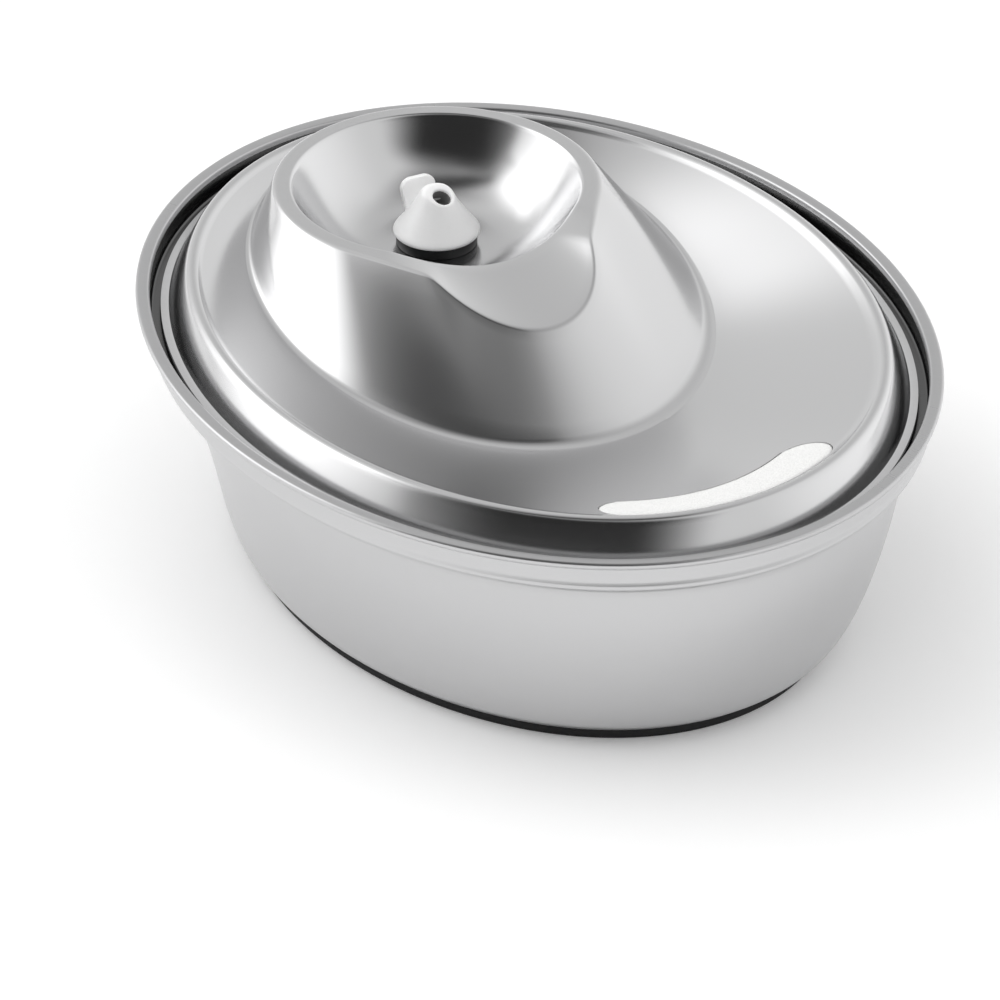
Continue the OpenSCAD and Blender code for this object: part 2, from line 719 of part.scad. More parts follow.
module motor_back_cap() {
    outer = (pump_wall + running_gap) * 2;
    inner = pump_wall * 4;
    color("dimgray") {
        block(motor_x, cap_t, 0);
        translate([motor_x + cap_t / 2, 0, pump_mid_z]) rotate([90, 0, 90])
            linear_extrude(height = cap_t / 2 + cap_lip) difference() {
                rounded(pump_w - outer, pump_h - outer, pump_corner_r - pump_wall);
                square([pump_w - inner, pump_h - inner], center = true);
                for (sy = [-1, 1])
                    for (sz = [-1, 1])
                        translate([sy * (pump_w / 2 - screw_inset), sz * (pump_h / 2 - screw_inset)])
                            circle(r = screw_boss_r + lift_gap, $fn = round_facets / 2);
            }
    }
}

module stator_core() {
    color("slategray") translate([core_x, 0, pump_mid_z]) rotate([90, 0, 90]) linear_extrude(height = core_l)
        difference() {
            square([core_w, core_h], center = true);
            circle(r = well_r + well_wall + running_gap, $fn = round_facets);
        }
}

module coil_bobbin() {
    x = core_x - coil_l - bobbin_t * 2;
    color("ivory") difference() {
        union() {
            rod(x, bobbin_t, coil_r);
            rod(x + bobbin_t + coil_l, bobbin_t, coil_r);
            rod(x, coil_l + bobbin_t * 2, well_r + well_wall + bobbin_t);
        }
        rod(x - overrun, coil_l + bobbin_t * 2 + overrun * 2, well_r + well_wall + running_gap);
    }
}

module coil_winding() {
    x = core_x - coil_l - bobbin_t;
    color("orangered") difference() {
        rod(x, coil_l, coil_r - bobbin_t / 2);
        rod(x - overrun, coil_l + overrun * 2, well_r + well_wall + bobbin_t);
    }
}

module driver_board() {
    x = motor_x + cap_t;
    color("green") translate([x, -board_w / 2, pump_mid_z - board_h / 2]) cube([board_t, board_w, board_h]);
}

module bush(x) {
    color("black") difference() {
        rod(x, bush_l, bush_r);
        rod(x + bush_boss_t / 2, bush_l, shaft_r + running_gap / 2);
    }
}

module rear_bush() {
    bush(well_floor_x);
}

module front_bush() {
    color("black") difference() {
        rod(front_bush_x, bush_l, bush_r);
        rod(front_bush_x - overrun, bush_l - bush_boss_t / 2 + overrun, shaft_r + running_gap / 2);
    }
}

module rotor_shaft() {
    x = well_floor_x + bush_boss_t / 2;
    color("white") rod(x, front_bush_x + bush_l - bush_boss_t / 2 - x, shaft_r);
}

module rotor_magnet() {
    color("darkslategray") difference() {
        rod(magnet_x, magnet_l, magnet_r);
        rod(magnet_x - overrun, magnet_l + overrun * 2, shaft_r + running_gap);
    }
}

module impeller() {
    x = magnet_x + magnet_l;
    disc_x = impeller_x + running_gap;
    color("white") difference() {
        union() {
            rod(x, disc_x - x + disc_t, hub_r);
            rod(disc_x, disc_t, impeller_r);
            rod(disc_x, front_bush_x - disc_x - lift_gap, hub_r * 0.8);
            for (i = [0:blade_count - 1])
                translate([disc_x + disc_t, 0, pump_mid_z]) rotate([i * 360 / blade_count, 0, 0])
                    translate([0, -blade_t / 2, 0]) cube([blade_w, blade_t, impeller_r - blade_t / 2]);
        }
        rod(x - overrun, volute_l * 2, shaft_r + running_gap);
    }
}

module volute_housing() {
    seat_h = outlet_top_z - outlet_seat_z;
    color("dimgray") difference() {
        union() {
            difference() {
                union() {
                    block(volute_x, volute_l, 0);
                    at_basin(pump_mid_z) cylinder(r = outlet_r, h = outlet_top_z - pump_mid_z, $fn = round_facets);
                }
                rod(volute_x - overrun, chamber_l + overrun, chamber_r);
                rod(volute_x, volute_l + overrun, inlet_r);
            }
            rod(front_bush_x, bush_l + volute_front_t, bush_r + spider_t / 2);
            for (a = [0:90:270])
                translate([cover_x - volute_front_t, 0, pump_mid_z]) rotate([a, 0, 0])
                    translate([0, -spider_t / 2, bush_r + spider_t / 4])
                        cube([volute_front_t, spider_t, inlet_r - bush_r]);
        }
        rod(front_bush_x - overrun, bush_l + overrun, bush_r);
        at_basin(pump_mid_z + bush_r + spider_t) cylinder(r = water_way_r, h = outlet_top_z, $fn = round_facets);
        at_basin(outlet_seat_z) cylinder(r = outlet_bore_r, h = seat_h + overrun, $fn = round_facets);
        screw_holes();
    }
}

module volute_oring() {
    color("black") translate([volute_x - gasket_r / 2, 0, pump_mid_z]) rotate([0, 90, 0])
        intersection() {
            rotate_extrude($fn = round_facets) translate([gasket_ring_r, gasket_r / 2])
                circle(r = gasket_r - running_gap, $fn = round_facets / 2);
            translate([0, 0, -overrun * 2]) cylinder(r = chamber_r * 2, h = gasket_r / 2 + overrun * 2, $fn = round_facets);
        }
}

module volute_screws() {
    shank_l = screw_grip + volute_l - lift_gap;
    color("lightgray") at_screws(volute_x - screw_grip + lift_gap) difference() {
        union() {
            cylinder(r = screw_r, h = shank_l, $fn = round_facets / 2);
            translate([0, 0, shank_l]) cylinder(r = screw_head_r, h = screw_head_t, $fn = round_facets / 2);
        }
        translate([0, 0, shank_l + screw_head_t / 2]) cylinder(r = screw_r * 0.8, h = screw_head_t, $fn = 6);
    }
}

module intake_cover() {
    slot_h = pump_h * 0.6;
    pitch = grille_w * 2.2;
    cheeks = floor((pump_w / 2 - pump_corner_r) / pitch);
    color("dimgray") difference() {
        block(cover_x, cover_l, 0);
        block(cover_x - overrun, cover_l - pump_wall + overrun, pump_wall);
        for (i = [-cheeks:cheeks])
            if (abs(i) * pitch > dial_r + grille_w / 2)
                translate([cover_x + cover_l / 2, i * pitch - grille_w / 2, pump_mid_z - slot_h / 2])
                    cube([cover_l, grille_w, slot_h]);
        for (i = [-cheeks:cheeks])
            translate([cover_x + cover_l / 2 - grille_w / 2, i * pitch - grille_w / 2, pump_top_z - pump_wall * 2])
                cube([grille_w * 2, grille_w, pump_wall * 3]);
        rod(cover_x, cover_l * 2, dial_pin_r + running_gap);
        at_inlets() cylinder(r = grille_w * 0.7, h = cover_l, $fn = round_facets / 2);
    }
}

// Two inlet holes that the flow dial uncovers
module at_inlets() {
    for (side = [-1, 1])
        translate([cover_x + cover_l / 2, side * dial_r * 0.6, pump_mid_z]) rotate([0, 90, 0]) children();
}

module intake_foam() {
    depth = cover_l - pump_wall - dial_t - screw_head_t - foam_gap * 2;
    color("lightgray") block(cover_x + screw_head_t + foam_gap, depth, pump_wall + lift_gap);
}

module flow_dial() {
    face_x = cover_x + cover_l + running_gap;
    color("white") {
        difference() {
            rod(face_x, dial_t, dial_r);
            for (side = [-1, 1])
                translate([face_x - overrun, 0, pump_mid_z + side * dial_r * 0.6]) rotate([0, 90, 0])
                    cylinder(r = grille_w * 0.7, h = dial_t + overrun * 2, $fn = round_facets / 2);
        }
        translate([face_x, -dial_knob_w / 2, pump_mid_z - dial_r * 0.8])
            cube([dial_t + dial_knob_h, dial_knob_w, dial_r * 1.6]);
        rod(face_x - pump_wall - dial_t, pump_wall + dial_t + running_gap, dial_pin_r);
        rod(face_x - pump_wall - dial_t, dial_t - running_gap * 2, dial_pin_r * 1.3);
    }
}

module suction_cups() {
    color("black")
        for (x = [motor_x + cup_inset, cover_x - cup_inset])
            for (side = [-1, 1])
                translate([x, side * (pump_w / 2 - cup_inset), floor_z]) rotate_extrude($fn = round_facets) polygon([
                    [0, cup_h * 0.35],
                    [cup_r * 0.55, cup_h * 0.2],
                    [cup_r - cup_lip_t, 0],
                    [cup_r, 0],
                    [cup_r, cup_lip_t / 2],
                    [cup_r * 0.6, cup_h * 0.5],
                    [cup_neck_r, cup_h * 0.62],
                    [cup_neck_r, cup_h],
                    [0, cup_h]]);
}

module cord_gland() {
    x = motor_x + gland_setback;
    neck_r = gland_r * 0.7 - running_gap;
    color("black") translate([x, 0, pump_top_z]) difference() {
        union() {
            translate([0, 0, -pump_wall]) cylinder(r = neck_r, h = pump_wall + overrun, $fn = round_facets / 2);
            cylinder(r1 = gland_r, r2 = gland_r * 0.8, h = gland_l, $fn = round_facets / 2);
        }
        translate([0, 0, -pump_wall - overrun])
            cylinder(r = lead_r + running_gap, h = gland_l + pump_wall + overrun * 2, $fn = round_facets / 2);
    }
}

outer_bowl();
foot_ring();
drinking_lid();
lid_seal();
nozzle_grommet();
nozzle_spigot();
spigot_oring();
nozzle();
filter_tray();
filter_fleece();
carbon_bed();
motor_housing();
motor_back_cap();
stator_core();
coil_bobbin();
coil_winding();
driver_board();
rear_bush();
front_bush();
rotor_shaft();
rotor_magnet();
impeller();
volute_housing();
volute_oring();
volute_screws();
intake_cover();
intake_foam();
flow_dial();
suction_cups();
cord_gland();
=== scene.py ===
"""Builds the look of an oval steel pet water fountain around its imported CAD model."""

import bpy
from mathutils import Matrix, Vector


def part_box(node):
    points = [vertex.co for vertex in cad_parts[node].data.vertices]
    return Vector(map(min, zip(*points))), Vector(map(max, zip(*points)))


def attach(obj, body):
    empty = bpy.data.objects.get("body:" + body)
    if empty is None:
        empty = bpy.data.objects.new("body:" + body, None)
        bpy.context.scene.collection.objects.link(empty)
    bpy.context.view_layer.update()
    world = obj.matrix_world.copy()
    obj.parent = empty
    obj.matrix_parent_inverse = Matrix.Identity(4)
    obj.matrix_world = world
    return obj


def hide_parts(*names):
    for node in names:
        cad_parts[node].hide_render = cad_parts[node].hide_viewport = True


bl_info = {
    "name": "Steel pet water fountain",
    "version": (1, 0, 0),
    "blender": (4, 5, 0),
    "location": "View3D > Sidebar > Fountain",
    "description": "Dresses the packed bowl, drinking lid, nozzle, filter and pump",
    "category": "Add Mesh",
}

import math

import bmesh
import bpy
import numpy as np
from bpy.props import FloatProperty, FloatVectorProperty, IntProperty, PointerProperty
from mathutils import Matrix, Vector

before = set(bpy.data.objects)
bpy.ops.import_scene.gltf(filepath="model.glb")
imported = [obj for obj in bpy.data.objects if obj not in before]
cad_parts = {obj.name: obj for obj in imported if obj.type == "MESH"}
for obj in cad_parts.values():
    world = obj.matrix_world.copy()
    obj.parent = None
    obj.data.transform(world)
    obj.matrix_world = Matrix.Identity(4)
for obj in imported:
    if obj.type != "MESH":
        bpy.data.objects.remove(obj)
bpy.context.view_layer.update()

BOWL_LOW, BOWL_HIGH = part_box("outer_bowl")
GROMMET_LOW, GROMMET_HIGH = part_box("nozzle_grommet")
SEAL_LOW, SEAL_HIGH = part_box("lid_seal")
LID_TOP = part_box("drinking_lid")[1].z
RING_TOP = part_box("foot_ring")[1].z
NOZZLE_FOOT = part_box("nozzle")[0].z
MM = 0.001


# Settings


def size_setting(name, description, value):
    return FloatProperty(name=name, description=description, default=value, unit="LENGTH")


def share_setting(name, description, value):
    return FloatProperty(name=name, description=description, default=value, min=0, max=1)


def colour_setting(name, description, value):
    limits = {"min": 0, "max": 1}
    return FloatVectorProperty(name=name, description=description, default=value, subtype="COLOR", **limits)


def angle_setting(name, description, degrees):
    return FloatProperty(name=name, description=description, default=math.radians(degrees), subtype="ANGLE")


class FountainBowlSettings(bpy.types.PropertyGroup):
    """Sizes of the pressed bowl."""

    length: size_setting("Length", "Length of the bowl over its rim", BOWL_HIGH.x - BOWL_LOW.x)
    width: size_setting("Width", "Width of the bowl over its rim", BOWL_HIGH.y - BOWL_LOW.y)
    height: size_setting("Height", "Height of the rim above the table", BOWL_HIGH.z)
    sheet: size_setting("Sheet", "Thickness of the pressed steel", 0.0008)
    rim_width: size_setting("Rim width", "Width of the flat rim", 0.0035)
    ledge_depth: size_setting("Ledge depth", "Depth from the rim to the ledge", BOWL_HIGH.z - SEAL_LOW.z)
    belly_shift: size_setting("Belly shift", "Forward lean of the wall at half height", 0.0048)
    segments: IntProperty(name="Segments", description="Points round the oval", default=224, min=64)


class FountainLidSettings(bpy.types.PropertyGroup):
    """Sizes of the drinking lid."""

    crest_inset: size_setting("Crest inset", "Inset of the crest from the rim", 0.0149)
    crest_rise: size_setting("Crest rise", "Height of the crest over the rim", 0.0049)
    basin_x: size_setting("Basin position", "Position of the basin along the bowl",
                          (GROMMET_LOW.x + GROMMET_HIGH.x) / 2)
    collar_radius: size_setting("Collar radius", "Outer radius of the basin's collar", 0.0425)
    collar_width: size_setting("Collar width", "Width of the basin's flat collar", 0.0047)
    collar_height: size_setting("Collar height", "Height of the collar above the table", LID_TOP)
    spout_radius: size_setting("Spout radius", "Radius of the raised part's nose", 0.0274)
    spout_reach: size_setting("Spout reach", "Distance from the basin's axis to the nose's", 0.0285)
    spout_start: size_setting("Spout start", "Distance from the basin's axis to the spout's fall", 0.0439)
    spout_slope: share_setting("Spout slope", "Fall of the spout's edge per unit of length", 0.35)
    slot_length: size_setting("Slot length", "Length of the drain slot", 0.066)
    slot_width: size_setting("Slot width", "Width of the drain slot", 0.015)
    slot_inset: size_setting("Slot inset", "Distance from the crest to the slot's middle", 0.0106)
    slot_offset: size_setting("Slot offset", "Distance of the slot's middle from the bowl's axis", 0.0039)


class FountainFinishSettings(bpy.types.PropertyGroup):
    """Colours and finishes."""

    bowl_steel: colour_setting("Bowl steel", "Colour of the bowl's steel", (0.59, 0.59, 0.595))
    lid_steel: colour_setting("Lid steel", "Colour of the lid's steel", (0.7, 0.7, 0.705))
    bowl_roughness: share_setting("Bowl roughness", "Roughness of the bowl's brushed steel", 0.3)
    lid_roughness: share_setting("Lid roughness", "Roughness of the lid's polished steel", 0.17)
    white_plastic: colour_setting("White plastic", "Colour of the nozzle and cartridge", (0.95, 0.95, 0.95))
    rubber: colour_setting("Black rubber", "Colour of the foot ring and the grommet", (0.012, 0.012, 0.013))


class FountainStageSettings(bpy.types.PropertyGroup):
    """Camera, floor and light."""

    azimuth: angle_setting("Azimuth", "Camera's azimuth round the fountain", 63.72)
    elevation: angle_setting("Elevation", "Camera's elevation", 30.63)
    distance: size_setting("Distance", "Camera's distance", 2.6)
    lens: FloatProperty(name="Lens", description="Focal length in millimetres", default=365.3)
    light: FloatProperty(name="Light", description="Strength of the studio light", default=1.0, min=0)


# Mesh help


def lerp(a, b, s):
    return a + (b - a) * s


def smooth(s):
    s = np.clip(s, 0, 1)
    return s * s * (3 - 2 * s)


def bend(start, corner, end, s):
    """A point or ring on the curve that rounds a corner."""
    return start * (1 - s) ** 2 + corner * 2 * s * (1 - s) + end * s * s


def new_piece(name, mesh, material, body, *nodes, slot=None):
    piece = bpy.data.objects.new(name, mesh)
    bpy.context.scene.collection.objects.link(piece)
    mesh.materials.clear()
    mesh.materials.append(material)
    for polygon in mesh.polygons:
        polygon.use_smooth = True
    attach(piece, body)
    if nodes:
        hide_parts(*nodes)
    return piece


def skin_mesh(name, rings, closed=False, ends=()):
    """Joins rings of points into a skin. A closed skin joins its last ring to its first."""
    rings = [np.asarray(r, float) for r in rings]
    n = len(rings[0])
    m = len(rings)
    points = np.concatenate(rings)
    faces = []
    for k in range(m if closed else m - 1):
        a, b = k * n, ((k + 1) % m) * n
        faces += [(a + j, a + (j + 1) % n, b + (j + 1) % n, b + j) for j in range(n)]
    if "first" in ends:
        faces.append(tuple(range(n - 1, -1, -1)))
    if "last" in ends:
        faces.append(tuple((m - 1) * n + j for j in range(n)))
    mesh = bpy.data.meshes.new(name)
    mesh.from_pydata([tuple(p) for p in points], [], faces)
    mesh.update()
    outward(mesh)
    return mesh


def apply_modifiers(piece):
    graph = bpy.context.evaluated_depsgraph_get()
    made = bpy.data.meshes.new_from_object(piece.evaluated_get(graph))
    old = piece.data
    piece.modifiers.clear()
    piece.data = made
    bpy.data.meshes.remove(old)


def outward(mesh):
    made = bmesh.new()
    made.from_mesh(mesh)
    bmesh.ops.recalc_face_normals(made, faces=made.faces)
    made.to_mesh(mesh)
    made.free()


def lathe_mesh(name, profile, segments, x, z):
    """A closed profile of (radius, height) pairs turned about the basin's axis."""
    turns = np.linspace(0, 2 * math.pi, segments, endpoint=False)
    rings = []
    for r, h in profile:
        rings.append(np.stack([x + r * np.cos(turns), r * np.sin(turns), np.full(segments, z + h)], 1))
    return skin_mesh(name, rings, closed=True)


def rounded_profile(points, radius):
    """Rounds the corners of a closed profile of 2-D points."""
    longest_cut, steps = 0.45, 4
    out = []
    n = len(points)
    for i in range(n):
        p = Vector(points[i])
        before = Vector(points[i - 1]) - p
        after = Vector(points[(i + 1) % n]) - p
        cut = min(radius, before.length * longest_cut, after.length * longest_cut)
        a = p + before.normalized() * cut
        b = p + after.normalized() * cut
        for k in range(steps + 1):
            out.append(tuple(bend(a, p, b, k / steps)))
    return out


# Effect groups


def group(name, inputs, outputs):
    made = bpy.data.node_groups.new(name, "ShaderNodeTree")
    for label, kind, value in inputs:
        socket = made.interface.new_socket(name=label, in_out="INPUT", socket_type=kind)
        if value is not None:
            socket.default_value = value
    for label, kind in outputs:
        made.interface.new_socket(name=label, in_out="OUTPUT", socket_type=kind)
    return made, made.nodes.new("NodeGroupInput"), made.nodes.new("NodeGroupOutput")


def math_node(tree, operation, a, b=None, c=None):
    made = tree.nodes.new("ShaderNodeMath")
    made.operation = operation
    for index, value in enumerate((a, b, c)):
        if value is None:
            continue
        if isinstance(value, (int, float)):
            made.inputs[index].default_value = value
        else:
            tree.links.new(value, made.inputs[index])
    return made.outputs[0]


def noise(made, vector, scale, detail):
    node = made.nodes.new("ShaderNodeTexNoise")
    node.inputs["Detail"].default_value = detail
    made.links.new(vector, node.inputs["Vector"])
    made.links.new(scale, node.inputs["Scale"])
    return node


def grain_group():
    """Fine brushed lines that run round an upright axis, and broad faint unevenness."""
    made, given, out = group(
        "brushed grain",
        [("Line Density", "NodeSocketFloat", 900.0), ("Round Density", "NodeSocketFloat", 14.0)],
        [("Lines", "NodeSocketFloat"), ("Cloud", "NodeSocketFloat")])
    place = made.nodes.new("ShaderNodeTexCoord")
    parts = made.nodes.new("ShaderNodeSeparateXYZ")
    made.links.new(place.outputs["Object"], parts.inputs[0])
    turn = math_node(made, "ARCTAN2", parts.outputs[1], parts.outputs[0])
    around = made.nodes.new("ShaderNodeCombineXYZ")
    turn_scale, height_scale = 0.08, 60.0
    made.links.new(math_node(made, "MULTIPLY", math_node(made, "SINE", turn), turn_scale), around.inputs[0])
    made.links.new(math_node(made, "MULTIPLY", math_node(made, "COSINE", turn), turn_scale), around.inputs[1])
    height = math_node(made, "MULTIPLY", parts.outputs[2], height_scale)
    made.links.new(height, around.inputs[2])
    lines = noise(made, around.outputs[0], given.outputs["Line Density"], 4.0)
    lines.inputs["Roughness"].default_value = 0.65
    cloud = noise(made, place.outputs["Object"], given.outputs["Round Density"], 3.0)
    made.links.new(lines.outputs["Fac"], out.inputs["Lines"])
    made.links.new(cloud.outputs["Fac"], out.inputs["Cloud"])
    return made


def speckle_group():
    """Fine moulded or granular texture in real size."""
    made, given, out = group(
        "moulded speckle",
        [("Density", "NodeSocketFloat", 1500.0)],
        [("Speckle", "NodeSocketFloat"), ("Cells", "NodeSocketFloat")])
    place = made.nodes.new("ShaderNodeTexCoord")
    speckle = noise(made, place.outputs["Object"], given.outputs["Density"], 3.0)
    cells = made.nodes.new("ShaderNodeTexVoronoi")
    made.links.new(place.outputs["Object"], cells.inputs["Vector"])
    made.links.new(given.outputs["Density"], cells.inputs["Scale"])
    made.links.new(speckle.outputs["Fac"], out.inputs["Speckle"])
    made.links.new(cells.outputs["Distance"], out.inputs["Cells"])
    return made


def placed(tree, effect, **values):
    node = tree.nodes.new("ShaderNodeGroup")
    node.node_tree = effect
    for label, value in values.items():
        node.inputs[label.replace("_", " ")].default_value = value
    return node


def ramp(tree, source, low, high, low_at=0.3, high_at=0.7):
    made = tree.nodes.new("ShaderNodeMapRange")
    made.inputs["From Min"].default_value = low_at
    made.inputs["From Max"].default_value = high_at
    made.inputs["To Min"].default_value = low
    made.inputs["To Max"].default_value = high
    tree.links.new(source, made.inputs["Value"])
    return made.outputs["Result"]


def tint(tree, source, dark, light, low_at=0.3, high_at=0.7):
    made = tree.nodes.new("ShaderNodeMix")
    made.data_type = "RGBA"
    made.inputs["A"].default_value = (*dark, 1)
    made.inputs["B"].default_value = (*light, 1)
    tree.links.new(ramp(tree, source, 0, 1, low_at, high_at), made.inputs["Factor"])
    return made.outputs["Result"]


def bump(tree, height, strength, distance):
    made = tree.nodes.new("ShaderNodeBump")
    made.inputs["Strength"].default_value = strength
    made.inputs["Distance"].default_value = distance
    tree.links.new(height, made.inputs["Height"])
    return made.outputs["Normal"]


def new_material(name):
    material = bpy.data.materials.new(name)
    material.use_nodes = True
    tree = material.node_tree
    return material, tree, tree.nodes["Principled BSDF"]


def steel(name, colour, roughness, lines=900.0, line_depth=0.00001, spread=0.05):
    """Stainless steel with fine lines round the oval and slightly uneven gloss."""
    material, tree, surface = new_material(name)
    grain = placed(tree, effects("brushed grain"), Line_Density=lines)
    dark = tuple(c * 0.965 for c in colour)
    tree.links.new(tint(tree, grain.outputs["Lines"], dark, colour), surface.inputs["Base Color"])
    surface.inputs["Metallic"].default_value = 1.0
    mixed = math_node(tree, "ADD", math_node(tree, "MULTIPLY", grain.outputs["Lines"], 0.5),
                      math_node(tree, "MULTIPLY", grain.outputs["Cloud"], 0.5))
    tree.links.new(ramp(tree, mixed, roughness - spread, roughness + spread), surface.inputs["Roughness"])
    tree.links.new(bump(tree, grain.outputs["Lines"], 0.25, line_depth), surface.inputs["Normal"])
    return material


def plastic(name, colour, roughness, density=1800.0, depth=0.00001, shade=0.96, coat=0.0, glow=0.0):
    """Moulded plastic, ceramic or rubber with a fine texture. Glow is how far light spreads inside."""
    material, tree, surface = new_material(name)
    grain = placed(tree, effects("moulded speckle"), Density=density)
    dark = tuple(c * shade for c in colour)
    tree.links.new(tint(tree, grain.outputs["Speckle"], dark, colour), surface.inputs["Base Color"])
    uneven = ramp(tree, grain.outputs["Speckle"], roughness * 0.9, min(1, roughness * 1.1))
    tree.links.new(uneven, surface.inputs["Roughness"])
    tree.links.new(bump(tree, grain.outputs["Speckle"], 0.3, depth), surface.inputs["Normal"])
    surface.inputs["Coat Weight"].default_value = coat
    if glow:
        surface.inputs["Subsurface Weight"].default_value = 1.0
        surface.inputs["Subsurface Radius"].default_value = (1, 1, 1)
        surface.inputs["Subsurface Scale"].default_value = glow
    return material


def metal(name, colour, roughness, density=900.0, depth=0.00002):
    """Ground, wound or plated metal inside the pump."""
    material = plastic(name, colour, roughness, density, depth, 0.85)
    material.node_tree.nodes["Principled BSDF"].inputs["Metallic"].default_value = 1.0
    return material


def cellular(name, colour, density, depth, roughness=0.95):
    """Fleece, foam or granules."""
    material, tree, surface = new_material(name)
    grain = placed(tree, effects("moulded speckle"), Density=density)
    dark = tuple(c * 0.82 for c in colour)
    tree.links.new(tint(tree, grain.outputs["Cells"], dark, colour, 0.1, 0.6), surface.inputs["Base Color"])
    uneven = ramp(tree, grain.outputs["Speckle"], roughness * 0.9, roughness)
    tree.links.new(uneven, surface.inputs["Roughness"])
    tree.links.new(bump(tree, grain.outputs["Cells"], 0.5, depth), surface.inputs["Normal"])
    return material


def effects(name):
    if name not in bpy.data.node_groups:
        {"brushed grain": grain_group, "moulded speckle": speckle_group}[name]()
    return bpy.data.node_groups[name]


def finish(name):
    """The material of a named finish, made the first time that it is asked for."""
    if name in bpy.data.materials:
        return bpy.data.materials[name]
    look = bpy.context.scene.fountain_finish
    white, black = tuple(look.white_plastic), tuple(look.rubber)
    recipes = {
        # Painted shade: near black steel for the shaded gap under the lid, on the neck's inner face and the
        # ledge
        "neck painted shade": lambda: steel(name, (0.13, 0.13, 0.13), 0.24, lines=700.0),
        "bowl steel": lambda: steel(name, tuple(look.bowl_steel), look.bowl_roughness),
        "lid steel": lambda: steel(name, tuple(look.lid_steel), look.lid_roughness, 700.0, 0.000004, 0.03),
        "foot rubber": lambda: plastic(name, black, 0.75, 700.0, 0.0003, 0.4),
        "grommet rubber": lambda: plastic(name, black, 0.4, 1500.0, 0.00002, 0.6),
        "seal silicone": lambda: plastic(name, (0.3, 0.3, 0.31), 0.5),
        "bush rubber": lambda: plastic(name, (0.03, 0.03, 0.033), 0.5),
        "cup rubber": lambda: plastic(name, (0.5, 0.52, 0.54), 0.3, 900.0, 0.00001, 0.9, 0.3),
        "nozzle plastic": lambda: plastic(name, white, 0.32, 1200.0, 0.000004, 0.985, 0.1, 1.6 * MM),
        # Painted shade: dark grey for the shade inside the nozzle's water hole
        "water hole painted shade": lambda: cellular(name, (0.27, 0.27, 0.27), 1500.0, 0.0003, 0.6),
        "cartridge plastic": lambda: plastic(name, white, 0.45, 1500.0, 0.00001, 0.97),
        "natural plastic": lambda: plastic(name, (0.74, 0.73, 0.68), 0.45),
        "pump plastic": lambda: plastic(name, (0.03, 0.032, 0.035), 0.5, 1600.0, 0.00003, 0.7),
        "potted board": lambda: plastic(name, (0.02, 0.16, 0.06), 0.35, 600.0, 0.00005, 0.6, 0.3),
        "ceramic": lambda: plastic(name, (0.82, 0.81, 0.78), 0.15, 1500.0, 0.000002, 0.98, 0.4),
        "fleece": lambda: cellular(name, (0.88, 0.88, 0.87), 2600.0, 0.0002),
        "pump foam": lambda: cellular(name, (0.2, 0.205, 0.22), 1500.0, 0.0005),
        "carbon granules": lambda: cellular(name, (0.03, 0.03, 0.03), 900.0, 0.0006, 0.6),
        "core sheets": lambda: metal(name, (0.36, 0.36, 0.38), 0.45),
        "copper wire": lambda: metal(name, (0.72, 0.36, 0.18), 0.3, 2500.0, 0.00008),
        "ferrite": lambda: plastic(name, (0.05, 0.05, 0.053), 0.35, 1500.0, 0.00002, 0.7),
        "screw steel": lambda: metal(name, (0.62, 0.62, 0.63), 0.28),
    }
    return recipes[name]()


# Bowl


def oval(inset, z, shift=0.0):
    size = bpy.context.scene.fountain_bowl
    turns = np.linspace(0, 2 * math.pi, size.segments, endpoint=False)
    x = shift + (size.length / 2 - inset) * np.cos(turns)
    y = (size.width / 2 - inset) * np.sin(turns)
    return np.stack([x, y, np.full(size.segments, z)], 1)


# Wall of the bowl: shares of its height and of its inset. They follow part.scad's list, whose
# middle rows a separate script fitted to the wall's outline in the photograph
WALL_SHARES = [
    (0, -0.12), (0.002, 0.0), (0.008, 0.045), (0.018, 0.09), (0.034, 0.135), (0.06, 0.19), (0.094, 0.245),
    (0.14, 0.3), (0.2, 0.36), (0.27, 0.417), (0.37, 0.495), (0.483, 0.583), (0.59, 0.67), (0.696, 0.759),
    (0.8, 0.842), (0.9, 0.925)]
# Step under the rim: inset, and height over the ledge, in millimetres
STEP_ROWS = [
    (7.55, -5.0), (6.9, -4.35), (5.9, -3.75), (4.9, -3.3), (4.0, -3.05), (3.35, -2.75), (3.0, -2.2),
    (2.9, -1.4), (2.9, 0.5), (2.9, 3.2)]
# Rolled hem of the rim: inset, and height over the rim, in millimetres
HEM_ROWS = [
    (2.86, -2.15), (2.6, -2.3), (2.1, -2.32), (1.5, -2.3), (0.9, -2.12), (0.42, -1.75), (0.12, -1.25),
    (0.0, -0.75), (0.1, -0.32), (0.38, -0.07), (0.75, 0.0)]
# Rounded inner edge of the rim: inset from its width, and height over the rim, in millimetres
RIM_EDGE_ROWS = [(-0.7, 0.0), (-0.3, -0.06), (0.0, -0.3), (0.15, -0.8)]
# Foot of the neck: inset from the neck, and height over the ledge, in millimetres
NECK_FOOT_ROWS = [(0.0, 1.2), (0.1, 0.5), (0.4, 0.12), (0.9, 0.0)]
# Inner edge of the ledge: inset, and height over the ledge, in millimetres
LEDGE_ROWS = [(7.9, 0.0), (8.3, -0.1), (8.5, -0.5)]
# Corner of the bowl's floor: inset from the foot, and height over the floor, in millimetres
CORNER_ROWS = [(0.2, 0.9), (1.4, 0.35), (3.0, 0.08), (5.0, 0.0)]
FOOT_INSET = 26.4 * MM
FOOT_WIDTH = 9 * MM
FOOT_ROUND = 0.7 * MM
WALL_TOP_INSET = 7.7 * MM
WALL_TOP_DROP = 5.4 * MM


def in_metres(rows, inset=0.0, height=0.0):
    """Profile rows in millimetres, set off from an inset and a height."""
    return [(inset + i * MM, height + h * MM) for i, h in rows]


